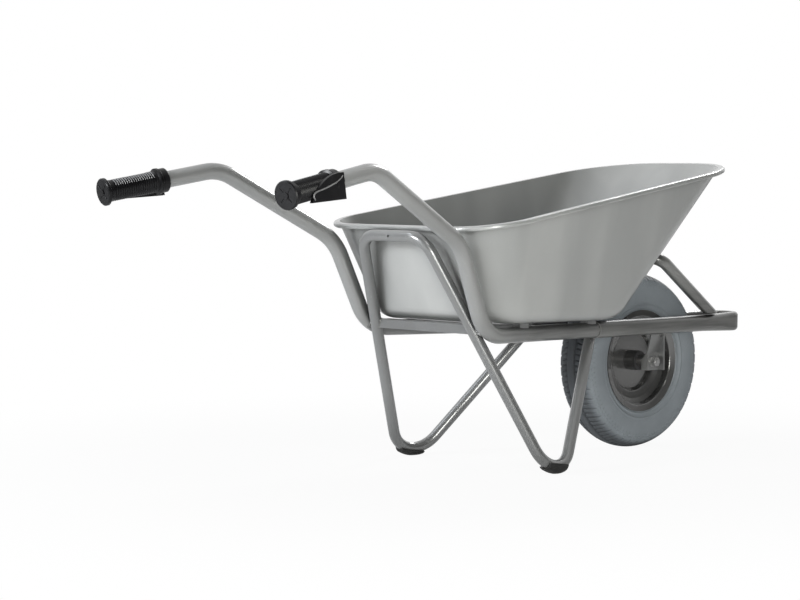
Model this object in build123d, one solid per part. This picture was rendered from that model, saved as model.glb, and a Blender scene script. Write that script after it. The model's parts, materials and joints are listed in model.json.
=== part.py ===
"""Single-wheel contractor's barrow: tubular frame, pressed tray, pneumatic wheel.

Millimetres. X runs forward from the wheel centre, Y to the user's left, Z up from the ground.
Left-hand pieces are modelled and the right-hand ones are their mirror images.
"""
from build123d import *
import math
import os

# Clearances shared by every seat
RUNNING_FIT = 0.05
SEAT_GAP = 0.1
BOLT_CLEARANCE = 0.3

# Wheel: tyre, rim, hub and axle, all turning about the Y axis through the wheel centre
TYRE_RADIUS = 195.0
TYRE_HALF_WIDTH = 46.0
TYRE_CROWN = 8.0
TYRE_SIDEWALL = 6.0
SHOULDER_DROP = 15.0
SHOULDER_INSET = 5.0
TREAD_GROOVE_DEPTH = 4.0
TREAD_GROOVE_WIDTH = 5.0
TREAD_GROOVE_SPACING = 13.0
TREAD_LUGS = 60
NOTCH_WIDTH = 5.0
NOTCH_LENGTH = 28.0
NOTCH_INSET = 10.7
NOTCH_DROP = 10.8
NOTCH_TILT = 40.2
BEAD_TOE = 2.0
HEEL_CHAMFER = 3.0
RIM_SHEET = 2.5
RIM_DISC_RADIUS = 65.0
RIM_LEDGE_DEPTH = 11.0
RIM_LEDGE_RADIUS = 86.0
RIM_SEAT_START = 18.0
RIM_SEAT_END = 33.5
RIM_SEAT_RADIUS = 100.5
RIM_FLANGE_RADIUS = 114.0
RIM_FLANGE_OFFSET = 37.0
RIM_STEP = 2.0
RIM_BENDS = (4.0, 3.0, 3.0, 3.0, 2.0)
TUBE_WALL = 2.0
TUBE_EASE = 0.8
VALVE_RADIUS = 92.0
VALVE_STEM_DIAMETER = 10.0
VALVE_BASE_LENGTH = 22.0
VALVE_OUT_LENGTH = 22.0
VALVE_CAP_DIAMETER = 11.5
VALVE_CAP_LENGTH = 12.0
HUB_DIAMETER = 44.0
HUB_WALL = 4.0
HUB_HALF_LENGTH = 30.0
BUSH_LENGTH = 22.0
BUSH_FLANGE_DIAMETER = 42.0
BUSH_FLANGE = 2.2
AXLE_DIAMETER = 20.0
AXLE_BOLT_DIAMETER = 12.0
AXLE_END_PLAY = 0.3
SPACER_SLEEVE_DIAMETER = 25.0
NUT_ACROSS_FLATS = 19.0
NUT_HEIGHT = 10.0
BOLT_HEAD_HEIGHT = 7.5
AXLE_WASHER_DIAMETER = 24.0
AXLE_WASHER = 2.5
BOLT_STAND_OUT = 3.0

# Axle brackets hanging from the rails
BRACKET_INNER = 66.0
BRACKET_SHEET = 4.0
BRACKET_REAR = -17.0
BRACKET_FRONT = 22.0
BRACKET_DROP = 19.0
BRACKET_STRAIGHT = 21.0
BRACKET_REAR_FLANGE = 18.0
BRACKET_FRONT_FLANGE = 18.0
BRACKET_BEND = 9.0

# Rails: both lie in one plane that falls a little towards the front and close in on the wheel
RAIL_HEIGHT = 275.4
RAIL_FALL = 1.16
RAIL_HALF_GAP = 84.0
RAIL_SPLAY = 0.142
TUBE_DIAMETER = 33.7
FRAME_WALL = 2.6
JOINT_X = -247.0

# Side tubes behind the joint: rail, knee, riser, elbow, handle crest and grip end
KNEE_X = -635.0
ELBOW_X = -716.0
ELBOW_Z = 476.0
CREST_X = -988.5
CREST_Z = 624.5
GRIP_END_X = -1247.6
GRIP_END_Z = 579.5
HANDLE_SPLAY = 0.168
KNEE_RADIUS = 80.0
ELBOW_RADIUS = 110.0
CREST_RADIUS = 95.0

# Front hoop: tube pressed to a flat oval, taller and thinner round the nose
HOOP_HEIGHT = 37.0
HOOP_WIDTH = 28.0
NOSE_HEIGHT = 43.5
NOSE_WIDTH = 17.0
NOSE_X = 306.0
NOSE_TAPER_X = 190.0

# Leg frame: one tube from the rear cross rail down to the feet and up again to the rails
LEG_DIAMETER = 24.0
LEG_WALL = 2.3
CROSSRAIL_X = -726.0
CROSSRAIL_RADIUS = 50.0
FOOT_X = -478.7
FOOT_HALF_WIDTH = 237.0
FOOT_CORNER_Z = -44.6
LEG_TOP_X = -222.0
LEG_TOP_SETBACK = 1.0
LEG_CROSSING_RISE = 4.0
VENT_HOLE = 5.0

# Wear shoes under the foot bends
SHOE_SHEET = 5.0
SHOE_FLAT = 1.0
SHOE_SHARE = 0.62
SHOE_BLANK = 200.0

# Front stay: bent tube from the rails up to the tray's front wall
STAY_DIAMETER = 26.9
STAY_WALL = 2.3
STAY_FOOT_X = 255.0
STAY_Z = 429.0
STAY_HALF_WIDTH = 122.0
STAY_RADIUS = 28.0

# Cross bar between the legs under the rear of the tray
BAR_X = -626.0
BAR_WIDTH = 28.0
BAR_HEIGHT = 19.5
BAR_SHEET = 3.0
BAR_TOP_GAP = 0.4

# Tray: pressed steel pan between a flat floor and a sloping rim
TRAY_SHEET = 2.0
FLOOR_GAP = 5.5
FLOOR_REAR_X = -630.0
FLOOR_FRONT_X = -190.0
FLOOR_REAR_HALF = 198.0
FLOOR_FRONT_HALF = 176.0
FLOOR_REAR_CORNER = 90.0
FLOOR_FRONT_CORNER = 90.0
ROUND_HEIGHT = 26.0
ROUND_STEPS = 7
RIM_REAR_X = -716.0
RIM_FRONT_X = 166.0
RIM_REAR_Z = 508.5
RIM_RISE = 8.2
RIM_REAR_HALF = 272.0
RIM_FRONT_HALF = 216.0
RIM_REAR_CORNER = 118.0
RIM_FRONT_CORNER = 175.0
LIP_OUT = 12.0
LIP_DROP = 10.0
LIP_ROUND = 4.0

# Tray fixings on the rails
FIXING_X = (-513.0, -270.0)
TRAY_BOLT_DIAMETER = 8.0
BOLT_DOME_DIAMETER = 15.0
BOLT_DOME_HEIGHT = 4.0
TRAY_NUT_FLATS = 13.0
TRAY_NUT_HEIGHT = 6.5
TRAY_WASHER_DIAMETER = 16.0
TRAY_WASHER = 1.6
BLOCK_LENGTH = 25.0
BLOCK_WIDTH = 22.0
BLOCK_SADDLE = 4.0

# Moulded grips
GRIP_LENGTH = 142.0
GRIP_END_WALL = 9.0
GRIP_WALL = 4.55
GRIP_END_FLANGE = 6.0
GRIP_END_LENGTH = 9.0
GRIP_NUB_DIAMETER = 13.0
GRIP_NUB_HEIGHT = 2.0
RIB_PITCH = 5.0
RIB_DEPTH = 1.6
RIB_COUNT = 19
RIB_START = 19.0
COLLAR_STEP = 3.0
COLLAR_LENGTH = 22.0
COLLAR_BAND = 2.0
COLLAR_BAND_LENGTH = 5.0
GRIP_EDGE = 2.0
GRIP_NECK = 3.0
GUARD_LENGTH = 100.0
GUARD_RISE = 18.0
GUARD_DROP = 32.0
GUARD_STAND_OUT = 4.0
GUARD_THICKNESS = 6.0
GUARD_SAG = 16.0

# Derived places
fall = math.radians(RAIL_FALL)
splay = math.atan(RAIL_SPLAY)
tube_r = TUBE_DIAMETER / 2
grip_r = tube_r + SEAT_GAP + GRIP_WALL
leg_r = LEG_DIAMETER / 2
stay_r = STAY_DIAMETER / 2
hub_r = HUB_DIAMETER / 2
axle_r = AXLE_DIAMETER / 2
bolt_r = AXLE_BOLT_DIAMETER / 2
rail_plane = Plane(
    origin=(0, 0, RAIL_HEIGHT),
    x_dir=(math.cos(fall), 0, -math.sin(fall)),
    z_dir=(math.sin(fall), 0, math.cos(fall)),
)
rim_rise = math.radians(RIM_RISE)
rim_plane = Plane(
    origin=(RIM_REAR_X, 0, RIM_REAR_Z),
    x_dir=(math.cos(rim_rise), 0, math.sin(rim_rise)),
    z_dir=(-math.sin(rim_rise), 0, math.cos(rim_rise)),
)
floor_plane = rail_plane.offset(tube_r + FLOOR_GAP)
shoulder_r = TYRE_RADIUS - SHOULDER_DROP
shoulder_y = TYRE_HALF_WIDTH - SHOULDER_INSET
bulge_r = (RIM_FLANGE_RADIUS + SEAT_GAP + shoulder_r) / 2
web_outer = BRACKET_INNER + BRACKET_SHEET


def rail_y(x):
    """Half gap between the rail centrelines at a place along the rails."""
    return RAIL_HALF_GAP - RAIL_SPLAY * x


def rail_point(x, lift=0.0):
    """Point on the left rail's centreline, in the world."""
    return rail_plane.from_local_coords(Vector(x, rail_y(x), lift))


def handle_point(x, z):
    """Point on the left handle's centreline, which splays out behind the knee."""
    knee = rail_point(KNEE_X)
    return Vector(x, knee.Y + HANDLE_SPLAY * (knee.X - x), z)


def other_side(shape):
    """The same piece on the right."""
    return mirror(shape, about=Plane.XZ)


def both_sides(shape):
    """A left piece and its mirror image, as separate solids."""
    return Compound(children=[*shape.solids(), *other_side(shape).solids()])


def rod(path, diameter):
    """Solid round bar along a path."""
    start = Plane(origin=path @ 0, z_dir=path % 0)
    return sweep(start * Circle(diameter / 2), path=path)


def pipe(path, diameter, wall):
    """Round tube along a path, open at its ends."""
    return rod(path, diameter) - rod(path, diameter - 2 * wall)


def turned(profile):
    """Ring turned about the wheel's axle from a face drawn in Y and radius."""
    return Pos(0, 0, TYRE_RADIUS) * revolve(profile, axis=Axis.Y)


def cylinder_y(radius, low, high):
    """Cylinder on the axle line between two places in Y."""
    return Pos(0, 0, TYRE_RADIUS) * extrude(Plane.XZ.offset(-high) * Circle(radius), amount=high - low)


def sleeve_y(outer, inner, low, high):
    """Plain sleeve on the axle line."""
    return cylinder_y(outer, low, high) - cylinder_y(inner, low - 1, high + 1)


# Side tubes

def side_path():
    """Centreline from the grip end to the joint with the front hoop."""
    points = [
        handle_point(GRIP_END_X, GRIP_END_Z),
        handle_point(CREST_X, CREST_Z),
        handle_point(ELBOW_X, ELBOW_Z),
        rail_point(KNEE_X),
        rail_point(JOINT_X),
    ]
    return points, FilletPolyline(*points, radius=[CREST_RADIUS, ELBOW_RADIUS, KNEE_RADIUS])


side_points, side_line = side_path()
grip_axis = (side_points[1] - side_points[0]).normalized()
grip_side = Vector(0, 0, 1).cross(grip_axis).normalized()
grip_plane = Plane(origin=side_points[0], x_dir=grip_side, z_dir=grip_axis)
side_solid = rod(side_line, TUBE_DIAMETER)


def make_side_tube():
    """Handle, riser and rear rail in one bent tube, drilled for the tray bolts."""
    tube = pipe(side_line, TUBE_DIAMETER, FRAME_WALL)
    end_wall = grip_plane * Cylinder(
        TUBE_DIAMETER, 2 * (GRIP_END_WALL + SEAT_GAP), align=Align.CENTER
    )
    return tube - end_wall - fixing_holes()


def fixing_hole_r():
    """Radius of the holes for the tray bolts."""
    return (TRAY_BOLT_DIAMETER + BOLT_CLEARANCE) / 2


def fixing_holes():
    """Bolt holes square to the rails, through their upper wall only."""
    hole = Pos(0, 0, TUBE_DIAMETER) * Cylinder(fixing_hole_r(), 2 * TUBE_DIAMETER)
    return [rail_plane * Pos(x, rail_y(x), 0) * hole for x in FIXING_X]


# Front hoop

def flat_oval(x, y, height, width):
    """Upright flat-oval section square to the left rail, drawn in the rail plane."""
    direction = Vector(math.cos(splay), -math.sin(splay), 0)
    return Plane(origin=(x, y, 0), x_dir=(0, 0, 1), z_dir=direction) * SlotOverall(height, width)


def hoop_body(inset):
    """The hoop grown inwards by an inset, so that two of them bound the tube's wall."""
    reach = rail_y(NOSE_X) * math.cos(splay)
    tangent = Vector(NOSE_X + reach * math.sin(splay), reach * math.cos(splay), 0)
    start = flat_oval(JOINT_X, rail_y(JOINT_X), HOOP_HEIGHT - 2 * inset, HOOP_WIDTH - 2 * inset)
    taper = flat_oval(NOSE_TAPER_X, rail_y(NOSE_TAPER_X), HOOP_HEIGHT - 2 * inset, HOOP_WIDTH - 2 * inset)
    nose = flat_oval(tangent.X, tangent.Y, NOSE_HEIGHT - 2 * inset, NOSE_WIDTH - 2 * inset)
    arc = ThreePointArc(tangent, (NOSE_X + reach, 0, 0), (tangent.X, -tangent.Y, 0))
    side = loft([start, taper], ruled=True) + loft([taper, nose], ruled=True)
    return rail_plane * (side + other_side(side) + sweep(nose, path=arc))


hoop_solid = hoop_body(0)


def make_front_hoop():
    """Front of the frame round the wheel."""
    return hoop_solid - hoop_body(FRAME_WALL)


# Leg frame

def leg_path():
    """Half of the leg tube, from the middle of the rear cross rail to its top on the left rail."""
    beside = tube_r + leg_r + SEAT_GAP
    knee = rail_point(KNEE_X)
    foot = Vector(FOOT_X, FOOT_HALF_WIDTH, FOOT_CORNER_Z)
    crossing = Vector(knee.X, knee.Y - beside, knee.Z + LEG_CROSSING_RISE)
    up = (crossing - foot) * ((CROSSRAIL_X - FOOT_X) / (crossing.X - foot.X))
    corner = foot + up
    top_rail = rail_point(LEG_TOP_X)
    top = Vector(top_rail.X, top_rail.Y - HOOP_WIDTH / 2 - leg_r - LEG_TOP_SETBACK, top_rail.Z)
    rear = up.normalized()
    front = (top - foot).normalized()
    half_turn = math.acos(rear.dot(front)) / 2
    bisector = (rear + front).normalized()
    normal = rear.cross(front).normalized()
    lowest = leg_r + SHOE_SHEET - SHOE_FLAT
    radius = (lowest - foot.Z) / (bisector.Z / math.sin(half_turn) - math.sqrt(1 - normal.Z**2))
    middle = Vector(corner.X, 0, corner.Z)
    line = FilletPolyline(middle, corner, foot, top, radius=[CROSSRAIL_RADIUS, radius])
    return corner, line


leg_corner, leg_line = leg_path()
half_leg_solid = rod(leg_line, LEG_DIAMETER)
leg_solid = half_leg_solid + other_side(half_leg_solid)


def make_leg_frame():
    """Both legs and the cross rail under the tray's rear lip, in one tube."""
    bore = rod(leg_line, LEG_DIAMETER - 2 * LEG_WALL)
    vent = Pos(leg_corner.X - leg_r, 0, leg_corner.Z) * Rot(0, 90, 0) * Cylinder(VENT_HOLE / 2, LEG_DIAMETER)
    rails = [hoop_solid, side_solid, other_side(side_solid)]
    return leg_solid - bore - other_side(bore) - vent - rails


def make_foot_shoe():
    """Wear shoe wrapped under a foot bend, flat where it stands."""
    bends = leg_line.edges().filter_by(GeomType.CIRCLE)
    bend = min(bends, key=lambda edge: edge.center().Z)
    spare = (1 - SHOE_SHARE) / 2
    stretch = Wire([bend.trim(spare, 1 - spare)])
    outer = rod(stretch, LEG_DIAMETER + 2 * SHOE_SHEET)
    inner = rod(leg_line, LEG_DIAMETER + 2 * SEAT_GAP)
    normal = (bend % 0).cross(bend % 1).normalized()
    low = bend @ 0.5
    inward = (bend.arc_center - low).normalized()
    half = Plane(origin=low, x_dir=normal, z_dir=inward)
    trough = half * Pos(0, 0, -SHOE_BLANK / 2) * Box(SHOE_BLANK, SHOE_BLANK, SHOE_BLANK)
    shoe = (outer - inner) & trough
    return split(shoe, bisect_by=Plane.XY, keep=Keep.TOP)


# Front stay

def front_wall_x(z):
    """Place of the tray's outer front wall on the centreline at a height."""
    foot = floor_plane.from_local_coords(Vector(FLOOR_FRONT_X, 0, 0))
    top = rim_plane.from_local_coords(Vector(rim_length() - LIP_OUT, 0, 0))
    return foot.X + (top.X - foot.X) * (z - foot.Z) / (top.Z - foot.Z)


def front_wall_lean():
    """Angle of the tray's front wall from upright."""
    return math.atan2(front_wall_x(STAY_Z + 1) - front_wall_x(STAY_Z), 1)


def rim_length():
    """Length of the rim measured along its slope."""
    return (RIM_FRONT_X - RIM_REAR_X) / math.cos(rim_rise)


def make_front_stay():
    """Bent tube that carries the tray's front wall, saddled on the hoop."""
    x = front_wall_x(STAY_Z) + (stay_r + SEAT_GAP) / math.cos(front_wall_lean())
    foot = rail_point(STAY_FOOT_X)
    half = FilletPolyline(
        (x, 0, STAY_Z), (x, STAY_HALF_WIDTH, STAY_Z), foot, radius=[STAY_RADIUS]
    )
    solid = rod(half, STAY_DIAMETER)
    bore = rod(half, STAY_DIAMETER - 2 * STAY_WALL)
    stay = solid + other_side(solid) - bore - other_side(bore) - hoop_solid
    return stay.solids().sort_by(SortBy.VOLUME)[-1]


# Cross bar

def make_cross_bar():
    """Pressed channel between the legs, open below."""
    half_length = rail_y(BAR_X)
    top = tube_r + FLOOR_GAP - BAR_TOP_GAP
    bar = Pos(BAR_X, 0, top - BAR_HEIGHT / 2) * Box(BAR_WIDTH, 2 * half_length, BAR_HEIGHT)
    bar = fillet(bar.edges().filter_by(Axis.Y).group_by(Axis.Z)[-1], BAR_SHEET)
    hollow = Pos(BAR_X, 0, top - BAR_SHEET - BAR_HEIGHT / 2) * Box(
        BAR_WIDTH - 2 * BAR_SHEET, 2 * half_length, BAR_HEIGHT
    )
    return rail_plane * (bar - hollow) - leg_solid - side_solid - other_side(side_solid)


# Axle brackets

def make_axle_bracket():
    """Pressed strap from the rail's underside down to the axle, with stiffening flanges."""
    low = TYRE_RADIUS - BRACKET_DROP
    bend = TYRE_RADIUS + BRACKET_STRAIGHT
    middle = BRACKET_INNER + BRACKET_SHEET / 2
    top = Vector(rail_y(0), RAIL_HEIGHT)
    strap = FilletPolyline((middle, low), (middle, bend), (top.X, top.Y), radius=[BRACKET_BEND])
    profile = trace(strap, line_width=BRACKET_SHEET)
    body = extrude(Plane.YZ.offset(BRACKET_REAR) * profile, amount=BRACKET_FRONT - BRACKET_REAR)
    lean = (top.X - middle) / (top.Y - bend)
    rise = BRACKET_STRAIGHT + BRACKET_DROP
    rear = Polyline(
        (middle, low),
        (middle - BRACKET_REAR_FLANGE, low),
        (middle - BRACKET_REAR_FLANGE, low + rise / 2),
        (middle, bend),
        close=True,
    )
    front = Polyline(
        (middle, low),
        (middle + BRACKET_FRONT_FLANGE, low),
        (middle + BRACKET_FRONT_FLANGE, bend + BRACKET_FRONT_FLANGE / lean),
        (middle, bend),
        close=True,
    )
    rear_flange = extrude(Plane.YZ.offset(BRACKET_REAR) * make_face(rear), amount=BRACKET_SHEET)
    front_flange = extrude(Plane.YZ.offset(BRACKET_FRONT) * make_face(front), amount=-BRACKET_SHEET)
    hole = cylinder_y(bolt_r + BOLT_CLEARANCE, 0, rail_y(0))
    return body + rear_flange + front_flange - hole - hoop_solid


# Tray

def pan_outline(plane, rear_x, front_x, rear_half, front_half, rear_corner, front_corner):
    """Rounded four-sided outline, wider behind than in front."""
    sides = Polyline(
        (rear_x, -rear_half), (front_x, -front_half), (front_x, front_half), (rear_x, rear_half), close=True
    )
    face = make_face(sides)
    face = fillet(face.vertices().group_by(Axis.X)[0], rear_corner)
    face = fillet(face.vertices().group_by(Axis.X)[-1], front_corner)
    return plane * face


def rim_outline(inset, plane):
    """Outline inside the lip's outer edge, in the plane of the rim."""
    return pan_outline(
        plane, inset, rim_length() - inset, RIM_REAR_HALF - inset, RIM_FRONT_HALF - inset,
        RIM_REAR_CORNER - inset, RIM_FRONT_CORNER - inset,
    )


def pan_walls():
    """The rim's rear and front ends seen from the floor, as length, half width and height."""
    ends = ((LIP_OUT, RIM_REAR_HALF - LIP_OUT), (rim_length() - LIP_OUT, RIM_FRONT_HALF - LIP_OUT))
    return [floor_plane.to_local_coords(rim_plane.from_local_coords(Vector(x, y, 0))) for x, y in ends]


def rounding(lean, height, sheet):
    """Distance of the rounded floor edge from the straight wall that it runs into, at a height."""
    radius = ROUND_HEIGHT / (1 - math.sin(lean)) - sheet
    above = height - sheet
    if above > radius * (1 - math.sin(lean)):
        return 0.0
    centre = radius * (math.tan(lean) - 1 / math.cos(lean))
    return above * math.tan(lean) - centre - math.sqrt(radius**2 - (radius - above) ** 2)


def pan_section(height, sheet):
    """Outline of the pan's outside, or of its inside when given the sheet, at a height above the floor."""
    rear, front = pan_walls()
    walls = (
        (FLOOR_REAR_X, rear.X, rear.Z, 1),
        (FLOOR_FRONT_X, front.X, front.Z, -1),
        (FLOOR_REAR_HALF, rear.Y, rear.Z, -1),
        (FLOOR_FRONT_HALF, front.Y, front.Z, -1),
    )
    places, insets = [], []
    for low, high, rise, inward in walls:
        lean = math.atan(abs(high - low) / rise)
        insets.append(sheet / math.cos(lean) + rounding(lean, height, sheet))
        places.append(low + (high - low) * height / rise + inward * insets[-1])
    rear_corner = FLOOR_REAR_CORNER + (RIM_REAR_CORNER - LIP_OUT - FLOOR_REAR_CORNER) * height / rear.Z
    front_corner = FLOOR_FRONT_CORNER + (RIM_FRONT_CORNER - LIP_OUT - FLOOR_FRONT_CORNER) * height / front.Z
    return pan_outline(
        floor_plane.offset(height), *places, rear_corner - (insets[0] + insets[2]) / 2,
        front_corner - (insets[1] + insets[3]) / 2,
    )


def pan_block(sheet):
    """Solid of the pan's outside, or of its inside when given the sheet's thickness."""
    top = ROUND_HEIGHT + sheet * math.sin(front_wall_lean())
    turns = [1 - math.cos(step / ROUND_STEPS * math.pi / 2) for step in range(ROUND_STEPS + 1)]
    sections = [pan_section(sheet + (top - sheet) * turn, sheet) for turn in turns]
    rear = pan_walls()[0]
    side_lean = math.atan((rear.Y - FLOOR_REAR_HALF) / rear.Z)
    rim = rim_outline(LIP_OUT + sheet / math.cos(side_lean), rim_plane)
    return loft(sections) + loft([sections[-1], rim], ruled=True)


def make_tray():
    """Pressed pan with a turned-down lip, drilled for its bolts."""
    outer = pan_block(0.0)
    inner = pan_block(TRAY_SHEET)
    lip = extrude(rim_outline(0, rim_plane), amount=-LIP_DROP)
    lip = fillet(lip.faces().sort_by(Axis.Z)[-1].edges(), LIP_ROUND)
    hollow = extrude(rim_outline(TRAY_SHEET, rim_plane.offset(-TRAY_SHEET)), amount=-LIP_DROP)
    holes = fixing_holes()
    return outer + (lip - hollow) - inner - holes - [other_side(hole) for hole in holes]


# Tray fixings

def at_fixings(shape):
    """A piece drawn about the rail's centreline, copied to the four fixings."""
    left = [rail_plane * Pos(x, rail_y(x), 0) * shape for x in FIXING_X]
    return Compound(children=[*left, *[other_side(piece) for piece in left]])


def make_tray_blocks():
    """Saddle blocks between the rails and the tray's floor."""
    height = BLOCK_SADDLE + FLOOR_GAP
    block = Pos(0, 0, tube_r - BLOCK_SADDLE + height / 2) * Box(BLOCK_LENGTH, BLOCK_WIDTH, height)
    rail = Rot(0, 0, -math.degrees(splay)) * Rot(0, 90, 0) * Cylinder(tube_r, 2 * BLOCK_LENGTH)
    return at_fixings(block - rail - Cylinder(fixing_hole_r(), 2 * TUBE_DIAMETER))


def nut_top():
    """Height above the rail's centreline at which a nut wedges inside the tube."""
    corner = TRAY_NUT_FLATS / math.sqrt(3)
    return math.sqrt((tube_r - FRAME_WALL) ** 2 - corner**2) - SEAT_GAP


def make_tray_bolts():
    """Dome-headed bolts from the tray's floor down into the nuts."""
    seat = tube_r + FLOOR_GAP + TRAY_SHEET + TRAY_WASHER
    tip = nut_top() - TRAY_NUT_HEIGHT - BOLT_STAND_OUT
    half = BOLT_DOME_DIAMETER / 2
    dome_r = (half**2 + BOLT_DOME_HEIGHT**2) / (2 * BOLT_DOME_HEIGHT)
    ball = Pos(0, 0, seat + BOLT_DOME_HEIGHT - dome_r) * Sphere(dome_r)
    head = ball & Pos(0, 0, seat + BOLT_DOME_HEIGHT / 2) * Cylinder(BOLT_DOME_DIAMETER, BOLT_DOME_HEIGHT)
    shank = Pos(0, 0, (seat + tip) / 2) * Cylinder(TRAY_BOLT_DIAMETER / 2, seat - tip)
    return at_fixings(head + shank)


def make_tray_washers():
    """Washers under the bolt heads."""
    ring = Cylinder(TRAY_WASHER_DIAMETER / 2, TRAY_WASHER) - Cylinder(fixing_hole_r(), 2 * TRAY_WASHER)
    return at_fixings(Pos(0, 0, tube_r + FLOOR_GAP + TRAY_SHEET + TRAY_WASHER / 2) * ring)


def make_tray_nuts():
    """Captive nuts against the upper wall inside the rails."""
    hexagon = RegularPolygon(TRAY_NUT_FLATS / 2, 6, major_radius=False)
    nut = extrude(hexagon, amount=-TRAY_NUT_HEIGHT) - Cylinder(TRAY_BOLT_DIAMETER / 2, 4 * TRAY_NUT_HEIGHT)
    turn = Rot(0, 0, 90 - math.degrees(splay))
    return at_fixings(Pos(0, 0, nut_top()) * turn * nut)


# Grips

def make_grip():
    """Ribbed grip with an end flange, a collar and a knuckle guard on its outer side."""
    end = grip_r + GRIP_END_FLANGE
    collar = grip_r + COLLAR_STEP
    collar_start = GRIP_LENGTH - COLLAR_LENGTH
    band = collar + COLLAR_BAND
    outline = [
        (0, 0),
        (end - GRIP_EDGE, 0),
        (end, GRIP_EDGE),
        (end, GRIP_END_LENGTH - GRIP_EDGE),
        (end - GRIP_EDGE, GRIP_END_LENGTH),
        (grip_r, GRIP_END_LENGTH + GRIP_NECK),
    ]
    for rib in range(RIB_COUNT):
        low = RIB_START + rib * RIB_PITCH
        outline += [(grip_r, low), (grip_r - RIB_DEPTH, low + RIB_PITCH / 2)]
    outline += [
        (grip_r, RIB_START + RIB_COUNT * RIB_PITCH),
        (grip_r, collar_start - GRIP_EDGE),
        (band, collar_start),
        (band, collar_start + COLLAR_BAND_LENGTH),
        (collar, collar_start + COLLAR_BAND_LENGTH + COLLAR_BAND),
        (collar, GRIP_LENGTH - GRIP_EDGE),
        (collar - GRIP_EDGE, GRIP_LENGTH),
        (0, GRIP_LENGTH),
    ]
    core = revolve(Plane.XZ * make_face(Polyline(*outline, close=True)), axis=Axis.Z)
    nub = Pos(0, 0, -GRIP_NUB_HEIGHT / 2) * Cylinder(GRIP_NUB_DIAMETER / 2, GRIP_NUB_HEIGHT)
    bore_length = GRIP_LENGTH - GRIP_END_WALL
    bore = Pos(0, 0, GRIP_END_WALL + bore_length / 2) * Cylinder(tube_r + SEAT_GAP, bore_length)
    return grip_plane * (core + nub + knuckle_guard() - bore)


def knuckle_guard():
    """Curved fin that shields the knuckles, drawn in the grip's own frame."""
    tip = Vector(-grip_r, GRIP_LENGTH - GUARD_LENGTH)
    top = Vector(GUARD_RISE, GRIP_LENGTH)
    low = Vector(-GUARD_DROP, GRIP_LENGTH)
    edge = SagittaArc(tip, top, -GUARD_SAG)
    face = make_face(edge + Line(top, low) + Line(low, tip))
    plane = Plane(origin=(grip_r + GUARD_STAND_OUT - GUARD_THICKNESS, 0, 0), x_dir=(0, 1, 0), z_dir=(1, 0, 0))
    return extrude(plane * face, amount=GUARD_THICKNESS)


# Wheel

def tyre_section():
    """Hollow tyre section in Y and radius, open between its beads."""
    heel = RIM_SEAT_END - 2 * SEAT_GAP
    toe = RIM_SEAT_START + BEAD_TOE
    seat = RIM_SEAT_RADIUS + 2 * SEAT_GAP
    side = RIM_FLANGE_OFFSET - 2 * SEAT_GAP
    top = RIM_FLANGE_RADIUS + SEAT_GAP
    crown_in = TYRE_RADIUS - TYRE_CROWN
    shoulder_in = (shoulder_y - TYRE_SIDEWALL, shoulder_r - TYRE_SIDEWALL / 2)
    toe_in = (toe + BEAD_TOE, seat + TYRE_CROWN)
    flange_slope = (heel - side) / (top - seat)

    def half(sign):
        outer = ThreePointArc(
            (sign * side, top), (sign * TYRE_HALF_WIDTH, bulge_r), (sign * shoulder_y, shoulder_r)
        )
        inner = ThreePointArc(
            (sign * toe_in[0], toe_in[1]),
            (sign * (TYRE_HALF_WIDTH - TYRE_SIDEWALL), bulge_r),
            (sign * shoulder_in[0], shoulder_in[1]),
        )
        bead = Polyline(
            (sign * side, top),
            (sign * (heel - HEEL_CHAMFER * flange_slope), seat + HEEL_CHAMFER),
            (sign * (heel - HEEL_CHAMFER), seat),
            (sign * toe, seat),
            (sign * toe_in[0], toe_in[1]),
        )
        return outer + inner + bead

    crown = ThreePointArc(
        (-shoulder_y, shoulder_r), (0, TYRE_RADIUS), (shoulder_y, shoulder_r)
    )
    belt = ThreePointArc((-shoulder_in[0], shoulder_in[1]), (0, crown_in), shoulder_in)
    return Plane.YZ * make_face(half(1) + half(-1) + crown + belt)


def make_tyre():
    """Tyre with two tread grooves and notched shoulders."""
    tyre = turned(tyre_section())
    for side in (-1, 1):
        groove = Pos(side * TREAD_GROOVE_SPACING, TYRE_RADIUS) * Rectangle(
            TREAD_GROOVE_WIDTH, 2 * TREAD_GROOVE_DEPTH
        )
        tyre -= turned(Plane.YZ * groove)
    cutter = Box(NOTCH_WIDTH, NOTCH_LENGTH, 2 * TREAD_GROOVE_DEPTH)
    notches = []
    for side in (-1, 1):
        place = Pos(0, side * (TYRE_HALF_WIDTH - NOTCH_INSET), TYRE_RADIUS - NOTCH_DROP)
        notch = place * Rot(-side * NOTCH_TILT, 0, 0) * cutter
        stagger = (side + 1) / 4
        for lug in range(TREAD_LUGS):
            turn = (lug + stagger) * 360 / TREAD_LUGS
            notches.append(Pos(0, 0, TYRE_RADIUS) * Rot(0, turn, 0) * notch)
    return tyre - notches


def rim_line():
    """Tyre side of a rim half, from the hub out to the flange, as Y and radius."""
    return FilletPolyline(
        (0, hub_r),
        (0, RIM_DISC_RADIUS),
        (RIM_LEDGE_DEPTH, RIM_DISC_RADIUS + RIM_LEDGE_DEPTH / 2),
        (RIM_LEDGE_DEPTH + RIM_STEP, RIM_LEDGE_RADIUS),
        (RIM_SEAT_START, RIM_SEAT_RADIUS - RIM_STEP),
        (RIM_SEAT_END, RIM_SEAT_RADIUS),
        (RIM_FLANGE_OFFSET, RIM_FLANGE_RADIUS),
        radius=RIM_BENDS,
    )


def make_rim_half():
    """Pressed half of the wheel rim, dished towards the hub."""
    sheet = offset(rim_line(), amount=RIM_SHEET, side=Side.RIGHT)
    return turned(Plane.YZ * make_face(sheet))


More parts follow.
